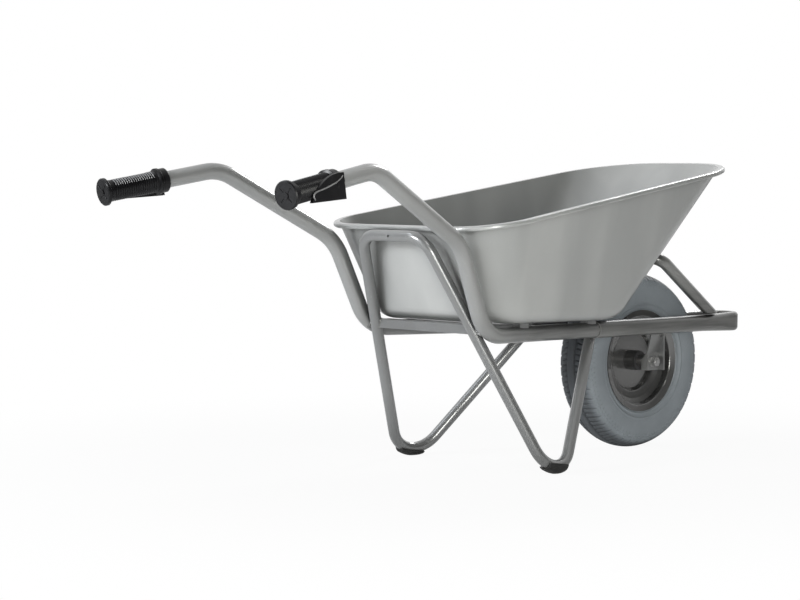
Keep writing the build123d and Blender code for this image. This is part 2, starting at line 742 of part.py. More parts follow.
def valve_frame():
    """Where the valve leaves the left rim half, pointing out and in towards the axle."""
    ledge = RIM_LEDGE_DEPTH + RIM_STEP
    share = (VALVE_RADIUS - RIM_LEDGE_RADIUS) / (RIM_SEAT_RADIUS - RIM_STEP - RIM_LEDGE_RADIUS)
    y = ledge + share * (RIM_SEAT_START - ledge)
    return Plane(origin=(0, y, TYRE_RADIUS + VALVE_RADIUS), x_dir=(1, 0, 0), z_dir=(0, 1, -1))


def inner_tube(inset):
    """The inflated tube as a ring, grown inwards by an inset."""
    section = TYRE_HALF_WIDTH - TYRE_SIDEWALL - TUBE_EASE
    return turned(Plane.YZ * Pos(0, bulge_r) * Circle(section - inset))


def make_valve_stem():
    """Rubber stem from the inner tube out through the left rim half."""
    length = VALVE_BASE_LENGTH + VALVE_OUT_LENGTH
    stem = Pos(0, 0, (VALVE_OUT_LENGTH - VALVE_BASE_LENGTH) / 2) * Cylinder(VALVE_STEM_DIAMETER / 2, length)
    return valve_frame() * stem - inner_tube(0)


def make_valve_cap():
    """Dust cap pushed over the end of the stem."""
    shell = Cylinder(VALVE_CAP_DIAMETER / 2, VALVE_CAP_LENGTH)
    pocket = Pos(0, 0, -TUBE_WALL) * Cylinder(VALVE_STEM_DIAMETER / 2 + RUNNING_FIT, VALVE_CAP_LENGTH)
    return valve_frame() * Pos(0, 0, VALVE_OUT_LENGTH + TUBE_WALL - VALVE_CAP_LENGTH / 2) * (shell - pocket)


def make_hub_bush():
    """Flanged bush pressed into the left end of the hub, running on the axle sleeve."""
    start = HUB_HALF_LENGTH - BUSH_LENGTH
    barrel = cylinder_y(hub_r - HUB_WALL, start, HUB_HALF_LENGTH)
    flange = cylinder_y(BUSH_FLANGE_DIAMETER / 2, HUB_HALF_LENGTH, HUB_HALF_LENGTH + BUSH_FLANGE)
    return barrel + flange - cylinder_y(axle_r + RUNNING_FIT, 0, 2 * HUB_HALF_LENGTH)


def hexagon_y(flats, low, high):
    """Hexagon prism on the axle line between two places in Y."""
    shape = extrude(
        Plane.XZ.offset(-high) * RegularPolygon(flats / 2, 6, major_radius=False), amount=high - low
    )
    return Pos(0, 0, TYRE_RADIUS) * shape


def axle_stack():
    """Axle pieces, from the sleeve in the hub out to the bolt head on the left and the nut on the right."""
    face = web_outer + AXLE_WASHER
    sleeve = sleeve_y(axle_r, bolt_r + BOLT_CLEARANCE, -BRACKET_INNER, BRACKET_INNER)
    spacer_start = HUB_HALF_LENGTH + BUSH_FLANGE + AXLE_END_PLAY
    spacer = sleeve_y(SPACER_SLEEVE_DIAMETER / 2, axle_r + SEAT_GAP, spacer_start, BRACKET_INNER)
    washer = sleeve_y(AXLE_WASHER_DIAMETER / 2, bolt_r + BOLT_CLEARANCE, web_outer, face)
    head = hexagon_y(NUT_ACROSS_FLATS, face, face + BOLT_HEAD_HEIGHT)
    bolt = head + cylinder_y(bolt_r, -face - NUT_HEIGHT - BOLT_STAND_OUT, face)
    nut = hexagon_y(NUT_ACROSS_FLATS, -face - NUT_HEIGHT, -face) - cylinder_y(bolt_r, -2 * face, face)
    return {
        "axle_sleeve": sleeve,
        "axle_spacers": both_sides(spacer),
        "axle_washers": both_sides(washer),
        "axle_bolt": bolt,
        "axle_nut": nut,
    }


def wheel_pieces():
    """Everything that turns with the wheel."""
    rim_half = make_rim_half()
    hole = valve_frame() * Cylinder(VALVE_STEM_DIAMETER / 2 + SEAT_GAP, 2 * VALVE_BASE_LENGTH)
    bush = make_hub_bush()
    return {
        "tyre": make_tyre(),
        "inner_tube": inner_tube(0) - inner_tube(TUBE_WALL),
        "valve_stem": make_valve_stem(),
        "valve_cap": make_valve_cap(),
        "left_rim_half": rim_half - hole,
        "right_rim_half": other_side(rim_half),
        "hub_tube": sleeve_y(hub_r, hub_r - HUB_WALL, -HUB_HALF_LENGTH, HUB_HALF_LENGTH),
        "left_hub_bush": bush,
        "right_hub_bush": other_side(bush),
    }


def frame_pieces():
    """Everything that stays still when the wheel turns."""
    pairs = {
        "side_tube": make_side_tube(),
        "foot_shoe": make_foot_shoe(),
        "axle_bracket": make_axle_bracket(),
        "grip": make_grip(),
    }
    pieces = {}
    for name, shape in pairs.items():
        pieces[f"left_{name}"] = shape
        pieces[f"right_{name}"] = other_side(shape)
    pieces["front_hoop"] = make_front_hoop()
    pieces["leg_frame"] = make_leg_frame()
    pieces["front_stay"] = make_front_stay()
    pieces["rear_cross_bar"] = make_cross_bar()
    pieces["tray"] = make_tray()
    pieces["tray_blocks"] = make_tray_blocks()
    pieces["tray_bolts"] = make_tray_bolts()
    pieces["tray_washers"] = make_tray_washers()
    pieces["tray_nuts"] = make_tray_nuts()
    return pieces


def main():
    """Build every piece and write one file for each, with the ground's middle as origin."""
    pieces = {**frame_pieces(), **axle_stack(), **wheel_pieces()}
    whole = Compound(children=[solid for shape in pieces.values() for solid in shape.solids()])
    box = whole.bounding_box()
    move = Pos(-(box.min.X + box.max.X) / 2, 0, -box.min.Z)
    os.makedirs("parts", exist_ok=True)
    for name, shape in pieces.items():
        solids = [move * solid for solid in shape.solids()]
        export_step(solids[0] if len(solids) == 1 else Compound(children=solids), f"parts/{name}.step")
    print("wheel centre", move.position.X, TYRE_RADIUS + move.position.Z, "size", box.size)


if __name__ == "__main__":
    main()
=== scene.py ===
"""Looks of a single-wheel barrow: its paint, rubber, steel, weld seams and the studio around it.

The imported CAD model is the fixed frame. Every length is in metres, in the frame's own axes.
"""

from __future__ import annotations

import json
import logging
import math
from dataclasses import dataclass, field
from enum import Enum
from typing import Any, Union

import bmesh
import bpy
from mathutils import Matrix, Vector
from mathutils.bvhtree import BVHTree

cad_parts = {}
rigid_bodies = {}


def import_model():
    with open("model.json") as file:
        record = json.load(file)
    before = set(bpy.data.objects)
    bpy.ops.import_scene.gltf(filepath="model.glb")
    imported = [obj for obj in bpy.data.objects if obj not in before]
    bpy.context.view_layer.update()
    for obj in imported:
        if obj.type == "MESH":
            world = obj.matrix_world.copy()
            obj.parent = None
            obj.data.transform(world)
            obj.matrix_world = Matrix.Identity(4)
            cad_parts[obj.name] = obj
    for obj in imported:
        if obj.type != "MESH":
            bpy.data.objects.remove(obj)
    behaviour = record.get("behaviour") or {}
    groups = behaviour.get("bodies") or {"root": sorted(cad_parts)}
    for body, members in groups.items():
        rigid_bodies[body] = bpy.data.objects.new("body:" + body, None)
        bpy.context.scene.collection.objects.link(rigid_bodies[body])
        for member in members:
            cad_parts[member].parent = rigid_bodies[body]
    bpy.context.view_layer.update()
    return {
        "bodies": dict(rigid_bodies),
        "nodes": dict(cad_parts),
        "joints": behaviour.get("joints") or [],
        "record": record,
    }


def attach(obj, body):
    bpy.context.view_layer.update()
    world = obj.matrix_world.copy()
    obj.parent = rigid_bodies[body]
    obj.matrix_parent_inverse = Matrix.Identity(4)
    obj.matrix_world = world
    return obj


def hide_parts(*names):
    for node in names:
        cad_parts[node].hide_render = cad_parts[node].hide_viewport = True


LOG = logging.getLogger("barrow")
MERGE = 0.00002
Colour = tuple[float, float, float]
Place = tuple[float, float, float]
Point = tuple[float, float]


class Body(str, Enum):
    """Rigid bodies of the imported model."""

    FRAME = "frame"
    WHEEL = "wheel"


class Side(str, Enum):
    """Sides of the barrow, as the person pushing it sees them."""

    LEFT = "left"
    RIGHT = "right"

    def node(self, piece: str) -> str:
        """Name of this side's node of a paired piece."""
        return f"{self.value}_{piece}"


def rgba(colour: Colour) -> tuple[float, float, float, float]:
    """Colour with full alpha, as a socket wants it."""
    return (*colour, 1.0)


class Term:
    """A node's socket that takes part in Python expressions."""

    def __init__(self, graph: Graph, socket: bpy.types.NodeSocket) -> None:
        """Keep the socket and the graph that it belongs to."""
        self.graph = graph
        self.socket = socket

    def _math(self, operation: str, first: Operand, second: Operand = 0.0) -> Term:
        """Add one Math node for an operator."""
        return self.graph.add("ShaderNodeMath", {"operation": operation}, {0: first, 1: second})

    def __add__(self, other: Operand) -> Term:
        """Sum."""
        return self._math("ADD", self, other)

    __radd__ = __add__

    def __sub__(self, other: Operand) -> Term:
        """Difference."""
        return self._math("SUBTRACT", self, other)

    def __rsub__(self, other: Operand) -> Term:
        """Difference with the number first."""
        return self._math("SUBTRACT", other, self)

    def __mul__(self, other: Operand) -> Term:
        """Product."""
        return self._math("MULTIPLY", self, other)

    __rmul__ = __mul__

    def root(self) -> Term:
        """Square root."""
        return self._math("SQRT", self)

    def sine(self) -> Term:
        """Sine of an angle in radians."""
        return self._math("SINE", self)

    def most(self, other: Operand) -> Term:
        """Larger of two values."""
        return self._math("MAXIMUM", self, other)


Operand = Union[Term, float]


class Graph:
    """Node tree of a finish or of a grown shape, filled by expressions."""

    def __init__(self, tree: bpy.types.NodeTree) -> None:
        """Start from an empty tree."""
        self.tree = tree
        tree.nodes.clear()

    def add(
        self,
        kind: str,
        settings: dict[str, Any] | None = None,
        inputs: dict[int | str, Any] | None = None,
        output: int | str = 0,
    ) -> Term:
        """Add a node of any type.

        Args:
            kind: the node's type.
            settings: properties of the node, and a ramp's stops, set before its sockets.
            inputs: values or terms for its sockets, by name or place.
            output: the socket that the term stands for.

        Returns:
            The chosen output as a term.
        """
        node = self.tree.nodes.new(kind)
        for name, value in (settings or {}).items():
            if name == "stops":
                self._set_stops(node.color_ramp, value)
            else:
                setattr(node, name, value)
        for key, value in (inputs or {}).items():
            if isinstance(value, Term):
                self.tree.links.new(value.socket, node.inputs[key])
            else:
                node.inputs[key].default_value = value
        return Term(self, node.outputs[output] if node.outputs else node.inputs[0])

    @staticmethod
    def _set_stops(ramp: bpy.types.ColorRamp, stops: list[tuple[float, float]]) -> None:
        """Give a ramp its grey stops as pairs of place and value."""
        while len(ramp.elements) < len(stops):
            ramp.elements.new(1.0)
        for element, (place, value) in zip(ramp.elements, stops):
            element.position = place
            element.color = (value, value, value, 1.0)

    def place(self, scale: Place = (1.0, 1.0, 1.0), shift: Place = (0.0, 0.0, 0.0)) -> Term:
        """Object coordinates, scaled and shifted.

        Args:
            scale: factor along each axis.
            shift: offset along each axis, after the scale.

        Returns:
            The mapped vector.
        """
        coords = self.add("ShaderNodeTexCoord", output="Object")
        return self.add("ShaderNodeMapping", inputs={"Vector": coords, "Scale": scale, "Location": shift})

    def noise(self, place: Term, scale: float, detail: float = 2.0, roughness: float = 0.5) -> Term:
        """Cloudy value between 0 and 1.

        Args:
            place: vector that the pattern follows.
            scale: cells per metre.
            detail: octaves.
            roughness: weight of the fine octaves.

        Returns:
            The noise value.
        """
        inputs = {"Vector": place, "Scale": scale, "Detail": detail, "Roughness": roughness}
        return self.add("ShaderNodeTexNoise", inputs=inputs)

    def ramp(self, value: Term, *stops: tuple[float, float]) -> Term:
        """Value sent through grey stops of place and result."""
        return self.add("ShaderNodeValToRGB", {"stops": list(stops)}, {"Fac": value})

    def mix(self, share: Operand, first: Term | Colour, second: Term | Colour) -> Term:
        """Colour between two others.

        Args:
            share: 0 gives the first colour and 1 the second.
            first: colour or term.
            second: colour or term.

        Returns:
            The mixed colour.
        """
        ends = [value if isinstance(value, Term) else rgba(value) for value in (first, second)]
        return self.add("ShaderNodeMix", {"data_type": "RGBA"}, {0: share, 6: ends[0], 7: ends[1]}, 2)

    def bump(self, height: Term, depth: float, under: Term | None = None) -> Term:
        """Normal raised by a height.

        Args:
            height: value from 0 to 1.
            depth: metres that 1 stands for.
            under: a normal that this one is laid over.

        Returns:
            The new normal.
        """
        inputs: dict[int | str, Any] = {"Height": height, "Strength": 1.0, "Distance": depth}
        if under is not None:
            inputs["Normal"] = under
        return self.add("ShaderNodeBump", inputs=inputs)

    def shelter(self, reach: float, alone: bool) -> Term:
        """0 on open surfaces, rising towards 1 in corners and under other surfaces.

        Args:
            reach: metres within which a surface shelters another.
            alone: count the piece's own surfaces only.

        Returns:
            The sheltered share.
        """
        settings = {"samples": 24, "only_local": alone}
        return 1.0 - self.add("ShaderNodeAmbientOcclusion", settings, {"Distance": reach}, "AO")

    def span(self, value: Term, low: float, high: float, start: float = 0.0, end: float = 1.0) -> Term:
        """Smooth change between two results.

        Args:
            value: what it follows.
            low: value at which it starts.
            high: value at which it ends.
            start: result up to the low value.
            end: result from the high value on.

        Returns:
            The result.
        """
        inputs = {"Value": value, "From Min": low, "From Max": high, "To Min": start, "To Max": end}
        return self.add("ShaderNodeMapRange", {"interpolation_type": "SMOOTHSTEP"}, inputs)

    def split(self, vector: Term) -> list[Term]:
        """The three parts of a vector."""
        node = self.add("ShaderNodeSeparateXYZ", inputs={0: vector}).socket.node
        return [Term(self, socket) for socket in node.outputs]

    def surface(self, **sockets: Any) -> None:
        """Finish a material with one Principled shader, named sockets in snake case."""
        inputs: dict[int | str, Any] = {}
        for name, value in sockets.items():
            title = name.replace("_", " ").title().replace("Ior", "IOR")
            inputs[title] = rgba(value) if isinstance(value, tuple) else value
        shader = self.add("ShaderNodeBsdfPrincipled", inputs=inputs)
        self.add("ShaderNodeOutputMaterial", inputs={"Surface": shader})


def new_material(name: str) -> tuple[bpy.types.Material, Graph]:
    """Empty material with its graph."""
    material = bpy.data.materials.new(name)
    material.use_nodes = True
    return material, Graph(material.node_tree)


@dataclass(frozen=True)
class PaintFinish:
    """Stove enamel on sheet or tube."""

    name: str
    colour: Colour
    shade: Colour
    roughness: float
    coat: float
    metallic: float
    peel: float
    ripple: float
    # Share of painted shade in crevices and under other parts.
    grime: float
    alone: bool = False
    # Share of painted shade at the lower front of the piece.
    film: float = 0.0
    reach: float = 0.16
    # Colour of the painted reflection streaks.
    drawn: Colour = (0.440, 0.452, 0.450)
    dust: Colour = (0.70, 0.70, 0.68)
    # Colour of the painted shade in crevices and under other parts.
    dirt: Colour = (0.020, 0.020, 0.019)
    # Painted shade colour at the lower front, the pale colour of its painted highlight streaks, and the
    # spans along x and down z where the shade sets in.
    film_dark: Colour = (0.018, 0.018, 0.017)
    film_pale: Colour = (0.400, 0.400, 0.385)
    film_along: Point = (-0.25, -0.02)
    film_below: Point = (0.40, 0.30)

    def material(self) -> bpy.types.Material:
        """Enamel with mottling, orange peel, sheet ripples in the bump with painted reflection streaks,
        dust, painted shade at the lower front with pale painted highlight streaks, and painted shade in
        crevices and under other parts.

        Returns:
            The material.
        """
        material, graph = new_material(self.name)
        place = graph.place()
        # Painted shade: ambient occlusion darkens corners, creases and surfaces under other parts.
        grime = graph.ramp(graph.shelter(self.reach, self.alone), (0.08, 0.0), (0.55, 1.0))
        mottle = graph.noise(place, 5.0, 4.0, 0.55)
        cloud = graph.ramp(mottle, (0.35, 0.0), (0.68, 1.0))
        dust = graph.ramp(graph.noise(place, 240.0, 3.0), (0.62, 0.0), (0.74, 1.0))
        rubbed = graph.noise(graph.place((30.0, 30.0, 6.0)), 1.0, 2.0, 0.5)
        scuff = graph.ramp(rubbed, (0.56, 0.0), (0.76, 1.0))
        streak = graph.noise(graph.place((7.0, 7.0, 0.9)), 1.0, 2.0, 0.4)
        peel = graph.noise(place, 520.0, 2.0)
        tone = graph.mix(cloud * 0.8, self.colour, self.shade)
        if self.ripple:
            # Painted reflection: vertical bands of darker tone, so that the sheet shows streaky
            # reflections.
            drawn = graph.ramp(streak, (0.40, 0.0), (0.60, 1.0))
            tone = graph.mix(drawn * 0.65, tone, self.drawn)
        worn = graph.mix(dust * 0.14, tone, self.dust)
        # Painted shade laid over the dusty tone.
        dusty_and_shaded = graph.mix(grime * self.grime, worn, self.dirt)
        # Painted shade: the lower front of the piece goes dark, with pale streaks in it that paint long
        # highlights.
        if self.film:
            x, _, z = graph.split(place)
            under_shade_mask = graph.span(x, *self.film_along) * graph.span(z, *self.film_below)
            streak_noise = graph.noise(graph.place((0.8, 30.0, 70.0)), 1.0, 3.0)
            streak_highlight_mask = graph.ramp(streak_noise, (0.38, 0.0), (0.64, 1.0))
            under_shade_tone = graph.mix(streak_highlight_mask * 0.40, self.film_dark, self.film_pale)
            dusty_and_shaded = graph.mix(under_shade_mask * self.film, dusty_and_shaded, under_shade_tone)
        normal = graph.bump(peel, self.peel, graph.bump(streak, self.ripple))
        graph.surface(
            base_color=dusty_and_shaded,
            roughness=scuff * 0.10 + cloud * 0.05 + self.roughness,
            metallic=self.metallic,
            coat_weight=self.coat - scuff * (0.5 * self.coat),
            coat_roughness=0.05,
            normal=normal,
        )
        return material


@dataclass(frozen=True)
class SteelFinish:
    """Bare, plated or turned steel."""

    name: str
    colour: Colour
    tarnish: Colour
    roughness: float

    def material(self) -> bpy.types.Material:
        """Metal with fine scratches and dull patches.

        Returns:
            The material.
        """
        material, graph = new_material(self.name)
        place = graph.place()
        patch = graph.ramp(graph.noise(place, 70.0, 5.0, 0.6), (0.42, 0.0), (0.66, 1.0))
        scratch = graph.noise(graph.place((160.0, 1500.0, 160.0)), 1.0, 3.0)
        graph.surface(
            base_color=graph.mix(patch, self.colour, self.tarnish),
            metallic=1.0 - patch * 0.25,
            roughness=patch * 0.2 + scratch * 0.12 + self.roughness,
            normal=graph.bump(scratch, 0.00004),
        )
        return material


@dataclass(frozen=True)
class RubberFinish:
    """Moulded rubber or plastic."""

    name: str
    colour: Colour
    bloom: Colour
    roughness: float
    grain: float
    depth: float

    def material(self) -> bpy.types.Material:
        """Dark moulding with a fine grain and a pale bloom on part of it.

        Returns:
            The material.
        """
        material, graph = new_material(self.name)
        place = graph.place()
        cloud = graph.ramp(graph.noise(place, 16.0, 5.0, 0.6), (0.40, 0.0), (0.70, 1.0))
        grain = graph.noise(place, self.grain, 3.0, 0.6)
        speck = graph.ramp(grain, (0.58, 0.0), (0.74, 1.0))
        graph.surface(
            base_color=graph.mix(cloud * 0.5 + speck * 0.3, self.colour, self.bloom),
            roughness=cloud * 0.10 + speck * 0.08 + self.roughness,
            specular_ior_level=0.35,
            normal=graph.bump(grain, self.depth),
        )
        return material


@dataclass(frozen=True)
class TyreFinish:
    """Tyre rubber, greyed on the sidewall and darker where it runs, with painted shade in its grooves."""

    name: str
    sidewall: Colour
    tread: Colour
    bloom: Colour
    roughness: float
    shoulder: float
    ring_pitch: float
    # Reach and colour of the painted shade in the tyre's notches and grooves.
    dirt_reach: float = 0.004
    dirt: Colour = (0.020, 0.021, 0.023)

    def material(self, centre: Vector) -> bpy.types.Material:
        """Rubber with moulding rings about the axle, a darker tread and painted shade in its notches and
        grooves.

        Args:
            centre: middle of the wheel.

        Returns:
            The material.
        """
        material, graph = new_material(self.name)
        local = graph.place(shift=tuple(-centre))
        x, _, z = graph.split(local)
        radius = (x * x + z * z).root()
        worn = graph.ramp(radius * (1.0 / (2.0 * self.shoulder)), (0.485, 0.0), (0.515, 1.0))
        rings = (radius * (2.0 * math.pi / self.ring_pitch)).sine() * 0.5 + 0.5
        cloud = graph.ramp(graph.noise(local, 11.0, 5.0, 0.6), (0.34, 0.0), (0.72, 1.0))
        grain = graph.noise(local, 700.0, 3.0, 0.6)
        side = graph.mix(cloud * 0.6, self.sidewall, self.bloom)
        # Painted shade: the tyre's own notches, grooves and raised marks darken in their recesses.
        dirt = graph.ramp(graph.shelter(self.dirt_reach, True), (0.10, 0.0), (0.50, 1.0))
        graph.surface(
            base_color=graph.mix(dirt * 0.9, graph.mix(worn, side, self.tread), self.dirt),
            roughness=cloud * 0.08 + grain * 0.10 + self.roughness,
            normal=graph.bump(grain, 0.0002, graph.bump(rings * (1.0 - worn), 0.00012)),
        )
        return material


# The shade shares in these finishes are painted shade: in crevices and under other parts, and on the rail
# and hoop also at the lower front.
GREY_ENAMEL = PaintFinish(
    "grey_enamel", (0.640, 0.650, 0.640), (0.590, 0.600, 0.590),
    roughness=0.31, coat=0.8, metallic=0.28, peel=0.000006, ripple=0.0060, grime=0.45, reach=0.30,
)
TUBE_ENAMEL = PaintFinish(
    "tube_enamel", (0.315, 0.319, 0.321), (0.270, 0.274, 0.276),
    roughness=0.27, coat=1.0, metallic=0.42, peel=0.000004, ripple=0.0, grime=0.30,
)
RAIL_ENAMEL = PaintFinish(
    "rail_enamel", (0.430, 0.435, 0.434), (0.385, 0.390, 0.389),
    roughness=0.30, coat=0.7, metallic=0.30, peel=0.000004, ripple=0.0, grime=0.60, film=0.62,
)
HOOP_ENAMEL = PaintFinish(
    "hoop_enamel", (0.370, 0.374, 0.363), (0.315, 0.319, 0.310),
    roughness=0.30, coat=0.7, metallic=0.30, peel=0.000004, ripple=0.0, grime=0.92, film=0.58,
)
RIM_ENAMEL = PaintFinish(
    "rim_enamel", (0.265, 0.264, 0.263), (0.185, 0.184, 0.183),
    roughness=0.17, coat=1.0, metallic=0.60, peel=0.000004, ripple=0.0, grime=0.85, alone=True,
)
HUB_ENAMEL = PaintFinish(
    "hub_enamel", (0.060, 0.060, 0.060), (0.045, 0.045, 0.045),
    roughness=0.42, coat=0.2, metallic=0.10, peel=0.000004, ripple=0.0, grime=0.40, alone=True,
)
SEAM_ENAMEL = PaintFinish(
    "seam_enamel", (0.300, 0.300, 0.292), (0.220, 0.220, 0.214),
    roughness=0.30, coat=0.7, metallic=0.30, peel=0.0001, ripple=0.0, grime=0.4,
)
BRIGHT_ZINC = SteelFinish("bright_zinc", (0.66, 0.66, 0.66), (0.40, 0.40, 0.39), roughness=0.20)
TURNED_STEEL = SteelFinish("turned_steel", (0.42, 0.42, 0.42), (0.22, 0.20, 0.18), roughness=0.34)
GRIP_RUBBER = RubberFinish(
    "grip_rubber", (0.005, 0.005, 0.006), (0.018, 0.018, 0.020), roughness=0.28, grain=900.0, depth=0.00008
)
# Pale grey rubber for the guard edges and finger ribs: painted highlight for the glints on their crests.
HIGHLIGHT_RUBBER = RubberFinish(
    "edge_rubber", (0.260, 0.260, 0.266), (0.340, 0.340, 0.346), roughness=0.20, grain=900.0, depth=0.00001
)
SHOE_RUBBER = RubberFinish(
    "shoe_rubber", (0.016, 0.016, 0.016), (0.050, 0.050, 0.049), roughness=0.38, grain=420.0, depth=0.00010
)
TUBE_RUBBER = RubberFinish(
    "tube_rubber", (0.018, 0.018, 0.018), (0.040, 0.040, 0.040), roughness=0.55, grain=500.0, depth=0.00010
)
DARK_NYLON = RubberFinish(
    "dark_nylon", (0.050, 0.050, 0.052), (0.090, 0.090, 0.092), roughness=0.40, grain=650.0, depth=0.00006
)
TYRE_RUBBER = TyreFinish(
    "tyre_rubber", (0.325, 0.362, 0.398), (0.110, 0.120, 0.132), (0.480, 0.522, 0.562),
    roughness=0.50, shoulder=0.183, ring_pitch=0.0016,
)


def dress(node: bpy.types.Object, material: bpy.types.Material) -> None:
    """Give a CAD node its finish in every material slot."""
    node.data.materials.clear()
    node.data.materials.append(material)


def merged(node: bpy.types.Object) -> bmesh.types.BMesh:
    """Copy of a CAD node's mesh with its loose triangles joined."""
    work = bmesh.new()
    work.from_mesh(node.data)
    bmesh.ops.remove_doubles(work, verts=work.verts, dist=MERGE)
    return work


@dataclass
class SeamFinder:
    """Finds where one piece's sharp edges meet the surface of another."""

    nodes: dict[str, bpy.types.Object]
    sharp: float = math.radians(35.0)

    def sharp_edges(self, work: bmesh.types.BMesh) -> list[bmesh.types.BMEdge]:
        """Edges of a merged mesh between faces that meet at a clear angle."""
        return [
            edge for edge in work.edges
            if len(edge.link_faces) == 2 and edge.calc_face_angle(0.0) > self.sharp
        ]

    def loops(self, name: str) -> list[list[Vector]]:
        """Closed loops of sharp edges on a node.

        Args:
            name: the node.

        Returns:
            One list of points for each loop.
        """
        work = merged(self.nodes[name])
        edges = dict.fromkeys(self.sharp_edges(work))
        found = []
        while edges:
            start = next(iter(edges))
            del edges[start]
            first, last = start.verts
            points = [first.co.copy(), last.co.copy()]
            while last != first:
                following = next((edge for edge in last.link_edges if edge in edges), None)
                if following is None:
                    break
                del edges[following]
                last = following.other_vert(last)
                points.append(last.co.copy())
            if last == first:
                found.append(points[:-1])
        work.free()
        return found

    def surface(self, name: str) -> BVHTree:
        """Search tree of a node's faces."""
        mesh = self.nodes[name].data
        return BVHTree.FromPolygons([v.co for v in mesh.vertices], [p.vertices for p in mesh.polygons])

    def touching(self, name: str, others: list[str], reach: float = 0.0006) -> list[list[Vector]]:
        """Sharp edges of a node that lie on other nodes.

        Args:
            name: the node whose edges are tried.
            others: the nodes that they may lie on.
            reach: largest gap that counts as touching.

        Returns:
            Both ends of each edge.
        """
        trees = [self.surface(other) for other in others]
        work = merged(self.nodes[name])
        pairs = [[vert.co.copy() for vert in edge.verts] for edge in self.sharp_edges(work)]
        work.free()
        return [
            [a, b] for a, b in pairs
            if all(min(tree.find_nearest(p)[3] for tree in trees) < reach for p in (a, b, (a + b) / 2))
        ]

    @staticmethod
    def outermost(loops: list[list[Vector]], span: float = 0.02) -> list[list[Vector]]:
        """Longest loop of each set that shares a middle.

        Args:
            loops: closed loops.
            span: distance between middles within which loops belong together.

        Returns:
            One loop for each middle.
        """
        kept: list[tuple[Vector, list[Vector]]] = []
        for loop in sorted(loops, key=loop_length, reverse=True):
            middle = sum(loop, Vector()) / len(loop)
            if all((middle - other).length > span for other, _ in kept):
                kept.append((middle, loop))
        return [loop for _, loop in kept]


def loop_length(loop: list[Vector]) -> float:
    """Length of a closed loop."""
    return sum((a - b).length for a, b in zip(loop, loop[1:] + loop[:1]))


@dataclass
class WeldSeams:
    """Weld beads where the frame's tubes and pressings meet."""

    finder: SeamFinder
    seat: float
    width: float = 0.0050
    height: float = 0.0034
    spacing: float = 0.0021
    seed: int = 7
    overlap: float = 2.2
    smallest: Place = (0.85, 0.80, 0.85)
    largest: Place = (1.15, 1.15, 1.15)
    seams: list[list[Vector]] = field(default_factory=list)

    def trace(self) -> None:
        """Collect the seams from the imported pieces."""
        rails = [side.node("side_tube") for side in Side]
        stay = self.finder.touching("front_stay", ["front_hoop"])
        self.seams += [edge for edge in stay if min(point.z for point in edge) > self.seat]
        self.seams += self.finder.touching("rear_cross_bar", ["leg_frame", *rails])
        for side in Side:
            self.seams += self.finder.touching(side.node("axle_bracket"), ["front_hoop"])
            ends = self.finder.outermost(self.finder.loops(side.node("side_tube")))
            ring = max(ends, key=lambda loop: max(p.x for p in loop))
            self.seams += [[a, b] for a, b in zip(ring, ring[1:] + ring[:1])]
        LOG.info("weld edges: %d", len(self.seams))

    def tree(self, material: bpy.types.Material) -> bpy.types.NodeTree:
        """Geometry Nodes that lay overlapping drops along a seam.

        Args:
            material: finish of the bead.

        Returns:
            The node tree, with inputs for the bead's sizes.
        """
        tree, (seam, width, height, spacing) = growth_tree("weld_bead", "Width", "Height", "Spacing")
        graph = seam.graph
        curve = graph.add("GeometryNodeMeshToCurve", inputs={"Mesh": seam})
        points = graph.add(
            "GeometryNodeCurveToPoints", {"mode": "LENGTH"}, {"Curve": curve, "Length": spacing}
        )
        turn = Term(graph, points.socket.node.outputs["Rotation"])
        drop = graph.add("GeometryNodeMeshUVSphere", inputs={"Segments": 8, "Rings": 6, "Radius": 0.5})
        size = graph.add("ShaderNodeCombineXYZ", inputs={0: width, 1: height, 2: spacing * self.overlap})
        vary = graph.add(
            "FunctionNodeRandomValue",
            {"data_type": "FLOAT_VECTOR"},
            {0: self.smallest, 1: self.largest, "Seed": self.seed},
        )
        scale = graph.add("ShaderNodeVectorMath", {"operation": "MULTIPLY"}, {0: size, 1: vary})
        beads = graph.add(
            "GeometryNodeInstanceOnPoints",
            inputs={"Points": points, "Instance": drop, "Rotation": turn, "Scale": scale},
        )
        end_growth(beads, material)
        return tree

    def build(self) -> None:
        """Make the beads one plain mesh that rides on the frame."""
        self.trace()
        tree = self.tree(SEAM_ENAMEL.material())
        sizes = {"Width": self.width, "Height": self.height, "Spacing": self.spacing}
        piece = grown("weld_beads", path_mesh("weld_beads", self.seams), tree, sizes)
        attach(piece, Body.FRAME.value)


def growth_tree(name: str, *sizes: str) -> tuple[bpy.types.NodeTree, list[Term]]:
    """Start a Geometry Nodes tree.

    Args:
        name: the tree's name.
        sizes: names of its inputs after the geometry.

    Returns:
        The tree, and its inputs as terms with the geometry first.
    """
    tree = bpy.data.node_groups.new(name, "GeometryNodeTree")
    tree.interface.new_socket("Source", in_out="INPUT", socket_type="NodeSocketGeometry")
    for size in sizes:
        tree.interface.new_socket(size, in_out="INPUT", socket_type="NodeSocketFloat")
    tree.interface.new_socket("Result", in_out="OUTPUT", socket_type="NodeSocketGeometry")
    graph = Graph(tree)
    source = tree.nodes.new("NodeGroupInput")
    return tree, [Term(graph, source.outputs[i]) for i in range(len(sizes) + 1)]


